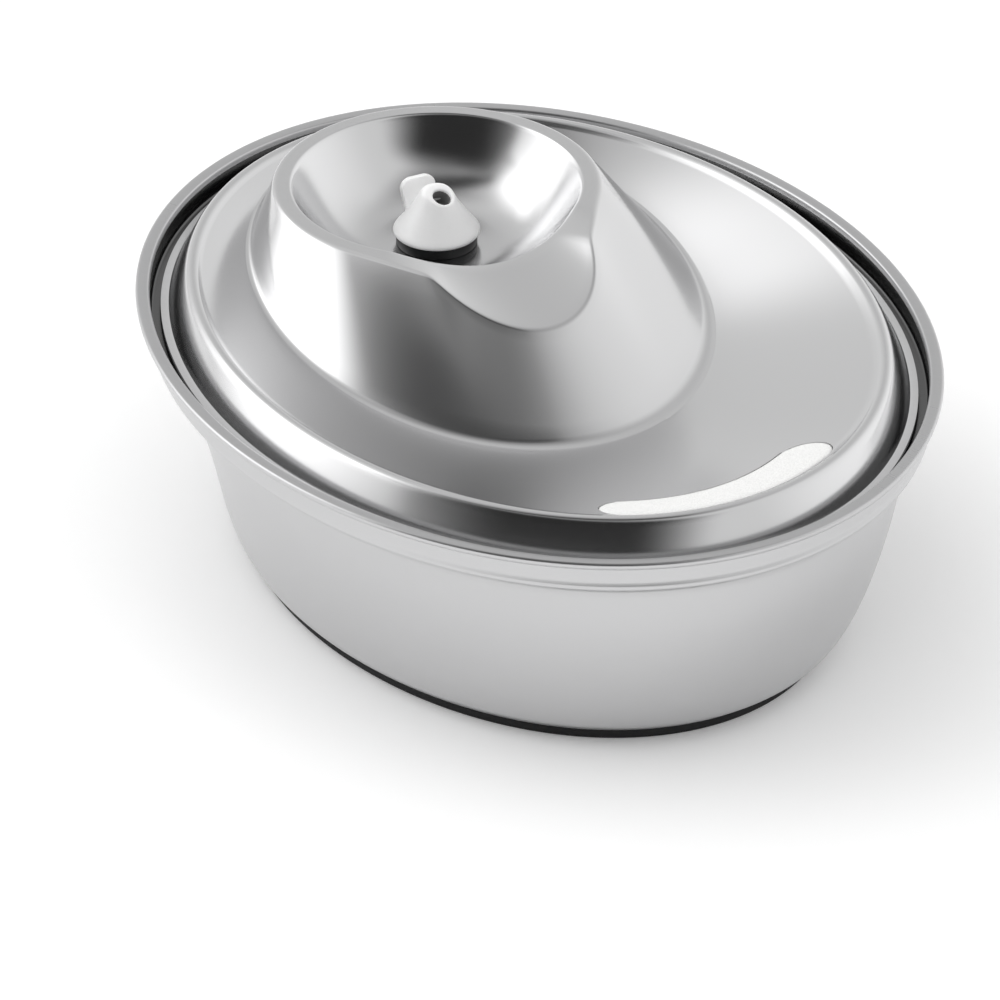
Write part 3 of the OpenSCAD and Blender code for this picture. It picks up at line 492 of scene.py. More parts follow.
def smooth_rows(rows, steps):
    """More rows along a smooth curve through the given ones."""
    rows = np.asarray(rows, float)
    out = []
    for i in range(len(rows) - 1):
        a = rows[max(i - 1, 0)]
        b, c = rows[i], rows[i + 1]
        d = rows[min(i + 2, len(rows) - 1)]
        for k in range(steps):
            s = k / steps
            out.append(0.5 * (2 * b + (c - a) * s + (2 * a - 5 * b + 4 * c - d) * s * s
                              + (3 * b - a - 3 * c + d) * s ** 3))
    out.append(rows[-1])
    return out


class FOUNTAIN_OT_bowl(bpy.types.Operator):
    """Builds the pressed bowl with its rolled rim, stepped neck and ledge."""

    bl_idname = "fountain.bowl"
    bl_label = "Bowl"

    def execute(self, context):
        bowl = context.scene.fountain_bowl
        foot_z = RING_TOP
        top = bowl.height
        ledge_z = top - bowl.ledge_depth
        t = bowl.sheet

        def belly(z):
            lean = math.sin(math.pi * min(z / ledge_z, 1))
            return bowl.belly_shift * lean * smooth((z - foot_z) / (4 * MM))

        outside = [(lerp(FOOT_INSET, WALL_TOP_INSET, i), lerp(foot_z, ledge_z - t, h))
                   for h, i in WALL_SHARES]
        outside = smooth_rows(outside + in_metres(STEP_ROWS, 0.0, ledge_z), 3)
        rim = in_metres(HEM_ROWS, 0.0, top) + in_metres(RIM_EDGE_ROWS, bowl.rim_width, top)
        neck = bowl.rim_width + t / 4
        inside = [(neck, top - 1.6 * MM)]
        inside += in_metres(NECK_FOOT_ROWS, neck, ledge_z) + in_metres(LEDGE_ROWS, 0.0, ledge_z)
        wall_low, wall_top = foot_z + 2.2 * MM, ledge_z - WALL_TOP_DROP
        inner_wall = [(i + t, z) for i, z in outside if wall_low < z < wall_top][::-1]
        corner = in_metres(CORNER_ROWS, FOOT_INSET, foot_z + t)
        rows = list(outside) + rim + inside + inner_wall + corner
        rings = [oval(i, z, belly(z) if z < ledge_z - 1 * MM else 0.0) for i, z in rows]
        mesh = skin_mesh("pressed_bowl", rings, ends=("first", "last"))
        piece = new_piece("pressed_bowl", mesh, finish("bowl steel"), "bowl", "outer_bowl", slot="bowl_steel")
        mark_flat_caps(piece)
        self.paint_neck_shade(piece, ledge_z, top)

        inner = FOOT_INSET + FOOT_WIDTH
        corners = [(FOOT_INSET, 0.0), (FOOT_INSET, foot_z), (inner, foot_z), (inner, 0.0)]
        ring = rounded_profile(corners, FOOT_ROUND)
        mesh = skin_mesh("rubber_foot", [oval(i, z) for i, z in ring], closed=True)
        new_piece("rubber_foot", mesh, finish("foot rubber"), "bowl", "foot_ring", slot="black_rubber")
        return {"FINISHED"}

    def paint_neck_shade(self, piece, ledge_z, top):
        """Paints shade on the neck's inner face and the ledge: a near black steel that stands in for the
        shade in the gap between the bowl and the lid.
        """
        piece.data.materials.append(finish("neck painted shade"))
        for polygon in piece.data.polygons:
            place, normal = polygon.center, polygon.normal
            inward = normal.x * place.x + normal.y * place.y < 0
            neck = inward and ledge_z - 0.2 * MM < place.z < top - 1.3 * MM
            ledge = normal.z > 0.7 and abs(place.z - ledge_z) < 0.4 * MM
            # These faces take the painted shade
            if neck or ledge:
                polygon.material_index = 1


def mark_flat_caps(piece):
    for polygon in piece.data.polygons:
        if len(polygon.vertices) > 4:
            polygon.use_smooth = False


# Lid

# Raised part: its foot is an oval on a slope
MOUND_LENGTH = 142 * MM
MOUND_WIDTH = 112 * MM
MOUND_GAP = 4.6 * MM
MOUND_CLIMB = 17.7 * MM
MOUND_FRONT_DROP = 15.3 * MM
FOOT_FILLET = 2.8 * MM
BRIM_ROUND = 1.1 * MM
BRIM_EASING = 0.02
# Dish and basin: how far they hang below straight lines
DISH_POWER = 1.15
BASIN_POWER = 2.5
BASIN_FLOOR_RADIUS = 13 * MM
CHANNEL_DROP = 4.4 * MM
CHANNEL_ANGLE = 45
CHANNEL_POWER = 1.2
# Crest: a rounded bead, in shares of its radius
CREST_RADIUS = 1.8 * MM
CREST_ROWS = [
    (-1, -0.55), (-0.8, -0.3), (-0.55, -0.12), (-0.28, -0.03), (0, 0), (0.28, -0.03), (0.55, -0.12),
    (0.85, -0.31), (1.2, -0.6)]
# Flange: inset, and height over the seal, in millimetres
FLANGE_ROWS = [(6.5, 0.0), (8.1, 0.0), (8.55, 0.12), (8.85, 0.5)]
WALL_BULGE = 0.25 * MM
# Shares of the way along each part of the lid at which it has a ring of points
WALL_STEPS = (0.1, 0.25, 0.4, 0.55, 0.7, 0.85, 0.95)
DISH_STEPS = (0.04, 0.09, 0.15, 0.22, 0.3, 0.38, 0.46, 0.54, 0.62, 0.7, 0.78, 0.85, 0.91, 0.96)
FLANK_STEPS = (0.12, 0.26, 0.4, 0.54, 0.68, 0.8, 0.9)
COLLAR_STEPS = (0.12, 0.3, 0.5, 0.7, 0.86)
BASIN_STEPS = (0.93, 0.86, 0.78, 0.69, 0.6, 0.5, 0.4, 0.3, 0.2, 0.1, 0.0)


class LidShape:
    """The lid's upper face, one ring of points at a time."""

    def __init__(self):
        bowl = bpy.context.scene.fountain_bowl
        lid = bpy.context.scene.fountain_lid
        self.bowl, self.lid = bowl, lid
        self.turns = np.linspace(0, 2 * math.pi, bowl.segments, endpoint=False)
        self.near = np.minimum(self.turns, 2 * math.pi - self.turns)
        self.crest_z = bowl.height + lid.crest_rise
        self.flange_z = SEAL_HIGH.z + bowl.sheet
        self.foot = self.mound_foot()
        self.edge_r = lid.collar_radius - lid.collar_width
        self.edge_z = lid.collar_height - CHANNEL_DROP * self.channel()
        self.floor_z = GROMMET_HIGH.z - 2.8 * MM

    def channel(self):
        """How deep the basin's edge dips towards the spout, from 0 to 1."""
        reach = np.clip(self.near / math.radians(CHANNEL_ANGLE), 0, 1)
        return np.cos(reach * math.pi / 2).clip(0, 1) ** CHANNEL_POWER

    def mound_foot(self):
        back = self.lid.crest_inset + MOUND_GAP - self.bowl.length / 2
        x = back + MOUND_LENGTH / 2 * (1 + np.cos(self.turns))
        y = MOUND_WIDTH / 2 * np.sin(self.turns)
        z = self.bowl.height - MOUND_FRONT_DROP + MOUND_CLIMB / MOUND_LENGTH * (back + MOUND_LENGTH - x)
        return np.stack([x, y, z], 1)

    def around(self, r, z):
        x = self.lid.basin_x + r * np.cos(self.turns)
        return np.stack([x, r * np.sin(self.turns), np.broadcast_to(z, self.turns.shape)], 1)

    def dish(self, s):
        inset = self.lid.crest_inset + CREST_RADIUS * 1.2
        top = oval(inset, self.crest_z - CREST_RADIUS * 0.6)
        point = lerp(top, self.foot, s)
        point[:, 2] = lerp(self.foot[:, 2], top[:, 2], (1 - s) ** DISH_POWER)
        return point

    def egg(self):
        """Radius of the raised part's top: the collar's circle and the nose, joined by straight sides."""
        big, small, reach = self.lid.collar_radius, self.lid.spout_radius, self.lid.spout_reach
        side = math.acos((big - small) / reach)
        nose = math.atan2(small * math.sin(side), reach + small * math.cos(side))
        straight = big / np.cos(np.clip(side - self.near, 0, side))
        square = small ** 2 - (reach * np.sin(self.near)) ** 2
        front = reach * np.cos(self.near) + np.sqrt(np.maximum(square, 0))
        return np.where(self.near > nose, straight, front)

    def brim(self):
        """The flank's upper edge: level round the collar, and falling along the spout."""
        lid = self.lid
        top = self.around(self.egg(), lid.collar_height)
        rise = lid.collar_height - self.foot[:, 2]
        start = lid.basin_x + lid.spout_start
        before = rise - lid.spout_slope * (self.foot[:, 0] - start)
        share = before / (rise + lid.spout_slope * (top[:, 0] - self.foot[:, 0]))
        share = np.where(self.near < math.pi / 2, share, 2)
        share = 1 - BRIM_EASING * np.log1p(np.exp((1 - share) / BRIM_EASING))
        return lerp(self.foot, top, share[:, None])

    def rings(self):
        dish = [self.dish(s) for s in DISH_STEPS]
        return self.crest_rings() + dish + self.mound_rings() + self.basin_rings()

    def crest_rings(self):
        crest, r = self.lid.crest_inset, CREST_RADIUS
        rows = in_metres(FLANGE_ROWS, 0.0, self.flange_z)
        low, high = rows[-1], (crest - r, self.crest_z - r * 0.5)
        for s in WALL_STEPS:
            bulge = WALL_BULGE * math.sin(math.pi * s)
            rows.append((lerp(low[0], high[0], s), lerp(low[1], high[1], s) + bulge))
        rows += [(crest + r * a, self.crest_z + r * b) for a, b in CREST_ROWS]
        return [oval(i, z) for i, z in rows]

    def mound_rings(self):
        """Rings of the foot's fillet, the flank, its rounded brim and the collar."""
        foot, brim = self.foot, self.brim()
        run = np.linalg.norm(brim - foot, axis=1)[:, None]
        into = foot - self.dish(DISH_STEPS[-1])
        into /= np.linalg.norm(into, axis=1)[:, None]
        fillet = np.minimum(FOOT_FILLET, run * 0.2)
        start, end = foot - into * fillet, foot + (brim - foot) / run * fillet
        rings = [bend(start, foot, end, s) for s in np.linspace(0, 1, 6)]
        low, high = fillet / run, 1 - BRIM_ROUND / run
        rings += [foot + (brim - foot) * lerp(low, high, s) for s in FLANK_STEPS]
        lip = self.lip()
        across = np.linalg.norm(lip - brim, axis=1)[:, None]
        inner = brim + (lip - brim) * BRIM_ROUND / across
        edge = foot + (brim - foot) * high
        rings += [bend(edge, brim, inner, s) for s in np.linspace(0, 1, 6)]
        return rings + [lerp(inner, lip, s) for s in COLLAR_STEPS]

    def lip(self):
        """Ring just outside the basin's edge."""
        return self.around(self.edge_r + 0.5 * MM, self.edge_z + 0.1 * MM)

    def basin(self, s):
        r = lerp(BASIN_FLOOR_RADIUS, self.edge_r, s)
        return self.around(r, lerp(self.floor_z, self.edge_z, s ** BASIN_POWER))

    def basin_rings(self):
        """Rings of the basin's rounded edge, its wall and its flat floor."""
        edge = self.around(self.edge_r, self.edge_z)
        rings = [bend(self.lip(), edge, self.basin(0.975), s) for s in np.linspace(0, 1, 5)]
        rings += [self.basin(s) for s in BASIN_STEPS]
        return rings + [self.around(r, self.floor_z) for r in (10.5 * MM, 7.3 * MM)]


def slot_outline(steps=48, margin=0.0):
    """Points round the drain slot, in plan: a band along the oval with round ends."""
    bowl = bpy.context.scene.fountain_bowl
    lid = bpy.context.scene.fountain_lid
    middle = lid.crest_inset + lid.slot_inset
    half = lid.slot_width / 2 + margin
    reach = (lid.slot_length - lid.slot_width) / 2
    a, b = bowl.length / 2 - middle, bowl.width / 2 - middle
    outer, inner, ends = [], [], []
    for y in np.linspace(lid.slot_offset - reach, lid.slot_offset + reach, steps + 1):
        point = Vector((a * math.sqrt(1 - (y / b) ** 2), y))
        out = Vector((point.x / a ** 2, point.y / b ** 2)).normalized() * half
        outer.append(point + out)
        inner.append(point - out)
        ends.append((point, out))
    rounds = []
    for (point, out), start in ((ends[-1], 0), (ends[0], math.pi)):
        along = Vector((-out.y, out.x))
        turns = start + np.linspace(0, math.pi, 17)[1:-1]
        rounds.append([point + out * math.cos(q) + along * math.sin(q) for q in turns])
    return [tuple(p) for p in outer + rounds[0] + inner[::-1] + rounds[1]]


def prism(name, outline, low, high):
    rings = [[(x, y, z) for x, y in outline] for z in (low, high)]
    return skin_mesh(name, rings, ends=("first", "last"))


def carve(piece, cutters, operation="DIFFERENCE"):
    for mesh in cutters:
        tool = bpy.data.objects.new("cutter", mesh)
        bpy.context.scene.collection.objects.link(tool)
        cut = piece.modifiers.new("cut", "BOOLEAN")
        cut.operation = operation
        cut.solver = "EXACT"
        cut.object = tool
        apply_modifiers(piece)
        bpy.data.objects.remove(tool)
        bpy.data.meshes.remove(mesh)


# Fleece pad: distance from the slot's edge, and height over the dish, in millimetres
PAD_ROWS = [
    (-2.4, -5.0), (-2.4, -1.6), (-0.12, -1.5), (-0.12, -0.5), (-0.3, -0.15), (-0.7, 0.08), (-1.5, 0.3),
    (-3.0, 0.45), (-5.0, 0.52), (-7.2, 0.55)]
NOTCH_DEPTH = 8.7 * MM
NOTCH_WIDTH = 6 * MM


class FOUNTAIN_OT_lid(bpy.types.Operator):
    """Builds the pressed drinking lid with its crest, dish, raised basin, spout and drain slot."""

    bl_idname = "fountain.lid"
    bl_label = "Drinking lid"

    def execute(self, context):
        shape = LidShape()
        mesh = skin_mesh("drinking_lid_shell", shape.rings())
        look = finish("lid steel")
        piece = new_piece("drinking_lid_shell", mesh, look, "lid", "drinking_lid", slot="lid_steel")
        up = sum(p.normal.z * p.area for p in mesh.polygons)
        if up < 0:
            mesh.flip_normals()
        shell = piece.modifiers.new("sheet", "SOLIDIFY")
        shell.thickness = shape.bowl.sheet
        shell.offset = -1
        apply_modifiers(piece)
        self.window(piece)
        back = -shape.bowl.length / 2
        front, side = back + NOTCH_DEPTH, NOTCH_WIDTH / 2
        notch = [(back, -side), (front, -side), (front, side), (back, side)]
        low, high, notch_high = 58 * MM, 74 * MM, 68 * MM
        carve(piece, [prism("slot_cutter", slot_outline(), low, high),
                      prism("notch_cutter", notch, low, notch_high)])
        piece.data.set_sharp_from_angle(angle=math.radians(32))
        return {"FINISHED"}

    def window(self, shell):
        """The fleece's upper part, which fills the drain slot with a soft white pad."""
        above = 100 * MM
        rings = []
        for margin, rise in PAD_ROWS:
            ring = []
            for x, y in slot_outline(margin=margin * MM):
                place = shell.ray_cast((x, y, above), (0, 0, -1))[1]
                ring.append((x, y, place.z + rise * MM))
            rings.append(np.array(ring))
        mesh = skin_mesh("slot_fleece", rings, ends=("first", "last"))
        new_piece("slot_fleece", mesh, finish("fleece"), "filter", "filter_fleece", slot="white_plastic")


# Nozzle


# Cone: radius, and height over its foot, in millimetres
CONE_FOOT = (0.01, 0.0)
CONE_ROWS = [
    (10.9, 0.0), (11.4, 0.45), (11.35, 1.0), (10.9, 1.7), (9.6, 3.3), (7.6, 6.0), (5.9, 8.5), (4.9, 10.3),
    (4.2, 11.6), (3.5, 12.4), (2.5, 12.85), (1.3, 13.0), (0.01, 13.0)]
CONE_SEGMENTS = 96
# Water hole: its direction, and the middle of its slanted mouth over the cone's foot
HOLE_LEAN = Vector((0.42, 0.11, 0.9)).normalized()
HOLE_MOUTH = Vector((2.3, 0.5, 11.15)) * MM
HOLE_RADIUS = 2.5 * MM
HOLE_LENGTH = 11 * MM
# Reach of the painted shade inside the water hole: the depth where it starts, and its radius
HOLE_SHADE_START = 0.7 * MM
HOLE_SHADE_RADIUS = 2.75 * MM
RISER_RADIUS = 1.9 * MM
SOCKET_RADIUS = 5.06 * MM
# Finger tab, in millimetres
TAB_HALF_WIDTH = 4.9
TAB_HALF_FOOT = 4.0
TAB_LOW = 0.5
TAB_HIGH = 9.9
TAB_CORNER = 2.8
TAB_HALF_SHEET = 0.9
TAB_PLACE = Vector((-10.2, 0, 0.8)) * MM
TAB_LEAN = -9
# Grommet: neck in the floor's hole, and flanges below and above it
GROMMET_NECK = 7.26 * MM
GROMMET_LOW_FLANGE = 8.86 * MM
GROMMET_TOP_FLANGE = 10.6 * MM
GROMMET_ROUND = 0.35 * MM


class FOUNTAIN_OT_nozzle(bpy.types.Operator):
    """Builds the white nozzle with its tilted water hole and finger tab, and the black grommet."""

    bl_idname = "fountain.nozzle"
    bl_label = "Nozzle and grommet"

    def execute(self, context):
        foot = Vector((context.scene.fountain_lid.basin_x, 0, NOZZLE_FOOT))
        self.nozzle(foot)
        self.grommet(foot)
        return {"FINISHED"}

    def nozzle(self, foot):
        rows = [CONE_FOOT] + [tuple(row) for row in smooth_rows(CONE_ROWS, 4)]
        mesh = lathe_mesh("white_nozzle", in_metres(rows), CONE_SEGMENTS, foot.x, foot.z)
        look = finish("nozzle plastic")
        piece = new_piece("white_nozzle", mesh, look, "spout_nozzle", "nozzle", slot="white_plastic")
        carve(piece, [self.tab(foot)], "UNION")
        turn = HOLE_LEAN.to_track_quat("Z", "Y").to_matrix().to_4x4()
        mouth = foot + HOLE_MOUTH
        over = Matrix.Translation(mouth + HOLE_LEAN * 3 * MM) @ turn
        carve(piece, [rod_mesh("slanted_top", 9 * MM, 6 * MM, over),
                      rod_mesh("water_hole", HOLE_RADIUS, HOLE_LENGTH, Matrix.Translation(mouth) @ turn)])
        soften(piece, 0.25 * MM, 6)
        self.paint_hole_shade(piece, mouth)
        riser = Matrix.Translation(foot + Vector((0, 0, 5 * MM)))
        socket = Matrix.Translation(foot + Vector((0, 0, 2 * MM)))
        carve(piece, [rod_mesh("riser_hole", RISER_RADIUS, 8 * MM, riser),
                      rod_mesh("spigot_socket", SOCKET_RADIUS, 8 * MM, socket)])
        piece.data.set_sharp_from_angle(angle=math.radians(40))

    def paint_hole_shade(self, piece, mouth):
        """Paints shade on the water hole's inner face: a dark grey that stands in for the shade deep in the
        hole.
        """
        piece.data.materials.append(finish("water hole painted shade"))
        for polygon in piece.data.polygons:
            place = polygon.center - mouth
            depth = -place.dot(HOLE_LEAN)
            inside = (place + HOLE_LEAN * depth).length < HOLE_SHADE_RADIUS and depth > HOLE_SHADE_START
            if inside and polygon.normal.dot(HOLE_LEAN) > -0.3:
                polygon.material_index = 1

    def grommet(self, foot):
        low = GROMMET_LOW.z - foot.z
        step, floor, top = low + 1.2 * MM, low + 2.0 * MM, -0.06 * MM
        outline = [
            (SOCKET_RADIUS, low), (GROMMET_LOW_FLANGE, low), (GROMMET_LOW_FLANGE, step),
            (GROMMET_NECK, step), (GROMMET_NECK, floor), (GROMMET_TOP_FLANGE, floor),
            (GROMMET_TOP_FLANGE, top), (SOCKET_RADIUS, top)]
        rows = rounded_profile(outline, GROMMET_ROUND)
        mesh = lathe_mesh("black_grommet", rows, CONE_SEGMENTS, foot.x, foot.z)
        look = finish("grommet rubber")
        new_piece("black_grommet", mesh, look, "lid", "nozzle_grommet", slot="black_rubber")

    def tab(self, foot):
        """Flat finger tab that leans back from the cone's foot."""
        outline = [(-TAB_HALF_FOOT, TAB_LOW), (TAB_HALF_FOOT, TAB_LOW)]
        for side, start in ((1, 0), (-1, math.pi / 2)):
            for q in start + np.linspace(0, math.pi / 2, 7):
                across = side * (TAB_HALF_WIDTH - TAB_CORNER) + TAB_CORNER * math.cos(q)
                outline.append((across, TAB_HIGH - TAB_CORNER + TAB_CORNER * math.sin(q)))
        mesh = prism("finger_tab", in_metres(outline), -TAB_HALF_SHEET * MM, TAB_HALF_SHEET * MM)
        upright = Matrix(((0, 0, 1), (1, 0, 0), (0, 1, 0))).to_4x4()
        lean = Matrix.Rotation(math.radians(TAB_LEAN), 4, "Y")
        mesh.transform(Matrix.Translation(foot + TAB_PLACE) @ lean @ upright)
        return mesh


def rod_mesh(name, radius, length, place):
    made = bmesh.new()
    bmesh.ops.create_cone(made, cap_ends=True, segments=48, radius1=radius, radius2=radius, depth=length)
    bmesh.ops.transform(made, matrix=place, verts=made.verts)
    mesh = bpy.data.meshes.new(name)
    made.to_mesh(mesh)
    made.free()
    return mesh


def soften(piece, voxel, rounds):
    """Fuses a moulding into one skin and eases its corners."""
    fuse = piece.modifiers.new("fuse", "REMESH")
    fuse.mode = "VOXEL"
    fuse.voxel_size = voxel
    fuse.use_smooth_shade = True
    ease = piece.modifiers.new("ease", "SMOOTH")
    ease.factor = 0.5
    ease.iterations = rounds
    apply_modifiers(piece)
    for polygon in piece.data.polygons:
        polygon.use_smooth = True


# Inner pieces

INNER_FINISHES = {
    "lid_seal": "seal silicone", "nozzle_spigot": "nozzle plastic", "spigot_oring": "grommet rubber",
    "filter_tray": "cartridge plastic", "carbon_bed": "carbon granules", "motor_housing": "pump plastic",
    "motor_back_cap": "pump plastic", "stator_core": "core sheets", "coil_bobbin": "natural plastic",
    "coil_winding": "copper wire", "driver_board": "potted board", "rear_bush": "bush rubber",
    "front_bush": "bush rubber", "rotor_shaft": "ceramic", "rotor_magnet": "ferrite",
    "impeller": "natural plastic", "volute_housing": "pump plastic", "volute_oring": "grommet rubber",
    "volute_screws": "screw steel", "intake_cover": "pump plastic", "intake_foam": "pump foam",
    "flow_dial": "nozzle plastic", "suction_cups": "cup rubber", "cord_gland": "grommet rubber"}


class FOUNTAIN_OT_inner_pieces(bpy.types.Operator):
    """Gives the pump, the cartridge and the seals their finishes."""

    bl_idname = "fountain.inner_pieces"
    bl_label = "Pump, cartridge and seals"

    def execute(self, context):
        for node, name in INNER_FINISHES.items():
            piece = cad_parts[node]
            piece.data.materials.clear()
            piece.data.materials.append(finish(name))
        return {"FINISHED"}


# Stage


def softbox_group():
    """A soft-edged rectangle of light in one direction of the sky."""
    made, given, out = group(
        "softbox",
        [("Across", "NodeSocketVector", (0, 1, 0)), ("Upwards", "NodeSocketVector", (0, 0, 1)),
         ("Towards", "NodeSocketVector", (1, 0, 0)), ("Half Width", "NodeSocketFloat", 0.5),
         ("Half Height", "NodeSocketFloat", 0.5), ("Side Softness", "NodeSocketFloat", 0.2),
         ("Top Softness", "NodeSocketFloat", 0.2)],
        [("Mask", "NodeSocketFloat")])
    place = made.nodes.new("ShaderNodeTexCoord")

    def dot(label):
        product = made.nodes.new("ShaderNodeVectorMath")
        product.operation = "DOT_PRODUCT"
        made.links.new(place.outputs["Generated"], product.inputs[0])
        made.links.new(given.outputs[label], product.inputs[1])
        return product.outputs["Value"]

    ahead = dot("Towards")
    least = 0.02
    mask = math_node(made, "GREATER_THAN", ahead, least)
    depth = math_node(made, "MAXIMUM", ahead, least)
    axes = (("Across", "Half Width", "Side Softness"), ("Upwards", "Half Height", "Top Softness"))
    for label, half, soft in axes:
        share = math_node(made, "ABSOLUTE", math_node(made, "DIVIDE", dot(label), depth))
        edge = made.nodes.new("ShaderNodeMapRange")
        edge.interpolation_type = "SMOOTHSTEP"
        made.links.new(math_node(made, "SUBTRACT", given.outputs[half], share), edge.inputs["Value"])
        made.links.new(math_node(made, "MULTIPLY", given.outputs[soft], -0.5), edge.inputs["From Min"])
        made.links.new(math_node(made, "MULTIPLY", given.outputs[soft], 0.5), edge.inputs["From Max"])
        mask = math_node(made, "MULTIPLY", mask, edge.outputs["Result"])
    made.links.new(mask, out.inputs["Mask"])
    return made


def direction(azimuth, elevation):
    """Towards an azimuth round the fountain and an elevation, both in radians."""
    flat = math.cos(elevation)
    return Vector((math.sin(azimuth) * flat, -math.cos(azimuth) * flat, math.sin(elevation)))


# Studio cards and lights round the camera's direction, each over the ones before it:
# azimuth, elevation, half width, half height, side softness, top softness, level.
# These numbers weren't chosen by hand: a separate script fitted them to the brightness of the
# photographed lid, and only the room's level and the two left lights' were changed afterwards
ROOM_LEVEL = 0.82
SOFTBOXES = [
    ("rear wall", 156, 30, 0.39, 0.41, 1.98, 0.53, 0.49),
    ("right wall", 121, 4, 0.82, 0.73, 2.0, 2.0, 1.22),
    ("ceiling", -100, 90, 0.43, 0.34, 1.36, 0.58, 0.05),
    ("dark ceiling card", -78, 69.6, 0.15, 0.68, 0.27, 0.05, 0.068),
    ("left screen", -53, 37, 0.27, 0.53, 0.17, 0.29, 0.31),
    ("left light", -108, 28, 0.33, 0.47, 1.0, 0.43, 2.3),
    ("left light core", -119, 35.6, 0.23, 0.1, 0.72, 0.09, 2.3),
    ("camera card", -15, 37.6, 0.8, 0.53, 0.9, 0.5, 0.03),
]
# The lamp lights pale moulded pieces and the floor; the polished steel shows only the cards
LAMP_AZIMUTH = -50
LAMP_ELEVATION = 72
LAMP_DISTANCE = 2.0
LAMP_SIZE = 2.4
LAMP_WATTS = 25.0
# The camera looks at a point beside the bowl's middle, as the photograph is framed
AIM_HEIGHT = 60 * MM
AIM_LEFT = 9.37 * MM
AIM_DOWN = 39.19 * MM
SENSOR_WIDTH = 36
CLIP_END = 50
FLOOR_HALF = 5.0
FLOOR_WHITENING = 0.14


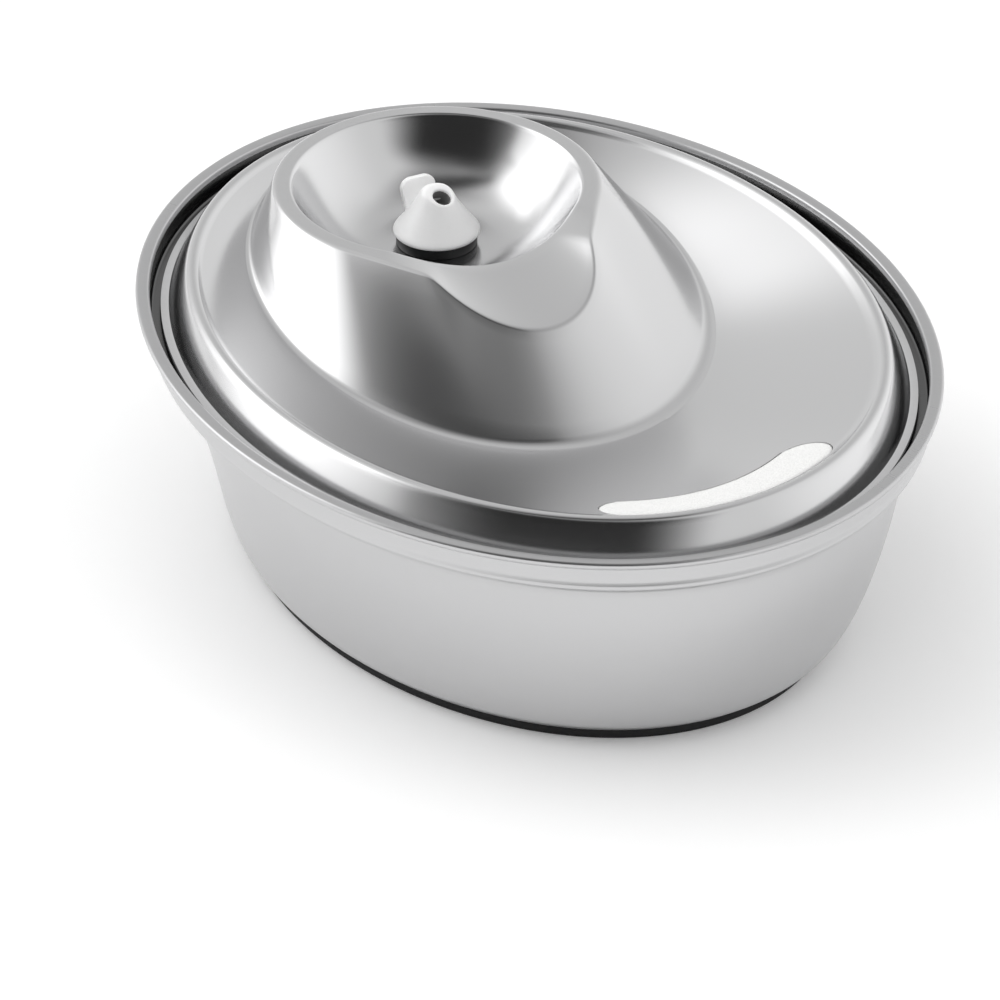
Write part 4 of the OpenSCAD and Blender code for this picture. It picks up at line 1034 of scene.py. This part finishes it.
class FOUNTAIN_OT_stage(bpy.types.Operator):
    """Builds the pale floor, the studio light and the camera."""

    bl_idname = "fountain.stage"
    bl_label = "Stage"

    def execute(self, context):
        scene = context.scene
        look = scene.fountain_stage
        self.world(scene, look)
        self.floor(scene)
        self.lamp(scene, look)
        back = direction(look.azimuth, look.elevation)
        right = Vector((math.cos(look.azimuth), math.sin(look.azimuth), 0))
        up = back.cross(right)
        target = Vector((0, 0, AIM_HEIGHT)) - right * AIM_LEFT - up * AIM_DOWN
        camera = bpy.data.objects.new("camera", bpy.data.cameras.new("camera"))
        scene.collection.objects.link(camera)
        camera.data.lens = look.lens
        camera.data.sensor_width = SENSOR_WIDTH
        camera.data.clip_end = CLIP_END
        camera.matrix_world = Matrix((right, up, back)).transposed().to_4x4()
        camera.location = target + back * look.distance
        scene.camera = camera
        scene.view_settings.view_transform = "Standard"
        return {"FINISHED"}

    def world(self, scene, look):
        world = bpy.data.worlds.new("studio")
        scene.world = world
        world.use_nodes = True
        tree = world.node_tree
        sky = tree.nodes["Background"]
        box = softbox_group()
        light = None
        for name, azimuth, elevation, half_w, half_h, side_soft, top_soft, strength in SOFTBOXES:
            around = look.azimuth + math.radians(azimuth)
            towards = direction(around, math.radians(elevation))
            across = Vector((math.cos(around), math.sin(around), 0))
            node = placed(tree, box, Half_Width=half_w, Half_Height=half_h, Side_Softness=side_soft,
                          Top_Softness=top_soft)
            node.label = name
            node.inputs["Towards"].default_value = towards
            node.inputs["Across"].default_value = across
            node.inputs["Upwards"].default_value = towards.cross(across)
            mix = tree.nodes.new("ShaderNodeMix")
            tree.links.new(node.outputs["Mask"], mix.inputs["Factor"])
            if light is None:
                mix.inputs["A"].default_value = ROOM_LEVEL
            else:
                tree.links.new(light, mix.inputs["A"])
            mix.inputs["B"].default_value = strength
            light = mix.outputs["Result"]
        rays = tree.nodes.new("ShaderNodeLightPath")
        seen = tree.nodes.new("ShaderNodeMix")
        tree.links.new(rays.outputs["Is Camera Ray"], seen.inputs["Factor"])
        tree.links.new(math_node(tree, "MULTIPLY", light, look.light), seen.inputs["A"])
        seen.inputs["B"].default_value = 1.0
        tree.links.new(seen.outputs["Result"], sky.inputs["Strength"])
        sky.inputs["Color"].default_value = (1, 1, 1, 1)

    def lamp(self, scene, look):
        towards = direction(look.azimuth + math.radians(LAMP_AZIMUTH), math.radians(LAMP_ELEVATION))
        lamp = bpy.data.objects.new("soft_lamp", bpy.data.lights.new("soft_lamp", "AREA"))
        scene.collection.objects.link(lamp)
        lamp.data.size = LAMP_SIZE
        lamp.data.energy = LAMP_WATTS
        lamp.location = towards * LAMP_DISTANCE
        lamp.rotation_euler = towards.to_track_quat("Z", "Y").to_euler()
        lamp.visible_glossy = False
        lamp.visible_camera = False

    def floor(self, scene):
        signs = ((-1, -1), (1, -1), (1, 1), (-1, 1))
        corners = [(x * FLOOR_HALF, y * FLOOR_HALF, 0) for x, y in signs]
        mesh = bpy.data.meshes.new("pale_floor")
        mesh.from_pydata(corners, [], [(0, 1, 2, 3)])
        floor = bpy.data.objects.new("pale_floor", mesh)
        scene.collection.objects.link(floor)
        material, tree, surface = new_material("pale floor")
        surface.inputs["Base Color"].default_value = (0.92, 0.92, 0.92, 1)
        surface.inputs["Roughness"].default_value = 0.9
        surface.inputs["Specular IOR Level"].default_value = 0.0
        rays = tree.nodes.new("ShaderNodeLightPath")
        seen = math_node(tree, "MAXIMUM", rays.outputs["Is Camera Ray"], rays.outputs["Is Glossy Ray"])
        white = math_node(tree, "MULTIPLY", seen, FLOOR_WHITENING)
        tree.links.new(white, surface.inputs["Emission Strength"])
        surface.inputs["Emission Color"].default_value = (1, 1, 1, 1)
        mesh.materials.append(material)


# Panel


class FOUNTAIN_PT_panel(bpy.types.Panel):
    """Lists the fountain's builders and settings."""

    bl_idname = "FOUNTAIN_PT_panel"
    bl_label = "Fountain"
    bl_space_type = "VIEW_3D"
    bl_region_type = "UI"
    bl_category = "Fountain"

    def draw(self, context):
        for name, settings in SETTINGS.items():
            box = self.layout.box()
            for prop in settings.__annotations__:
                box.prop(getattr(context.scene, name), prop)
        for operator in OPERATORS:
            self.layout.operator(operator.bl_idname)


SETTINGS = {
    "fountain_bowl": FountainBowlSettings,
    "fountain_lid": FountainLidSettings,
    "fountain_finish": FountainFinishSettings,
    "fountain_stage": FountainStageSettings,
}
OPERATORS = (
    FOUNTAIN_OT_bowl, FOUNTAIN_OT_lid, FOUNTAIN_OT_nozzle, FOUNTAIN_OT_inner_pieces, FOUNTAIN_OT_stage)


def register():
    for name, settings in SETTINGS.items():
        bpy.utils.register_class(settings)
        setattr(bpy.types.Scene, name, PointerProperty(type=settings))
    for operator in OPERATORS:
        bpy.utils.register_class(operator)
    bpy.utils.register_class(FOUNTAIN_PT_panel)


def unregister():
    bpy.utils.unregister_class(FOUNTAIN_PT_panel)
    for operator in reversed(OPERATORS):
        bpy.utils.unregister_class(operator)
    for name, settings in reversed(SETTINGS.items()):
        delattr(bpy.types.Scene, name)
        bpy.utils.unregister_class(settings)


def main():
    register()
    bpy.ops.fountain.bowl()
    bpy.ops.fountain.lid()
    bpy.ops.fountain.nozzle()
    bpy.ops.fountain.inner_pieces()
    bpy.ops.fountain.stage()


if __name__ == "__main__":
    main()
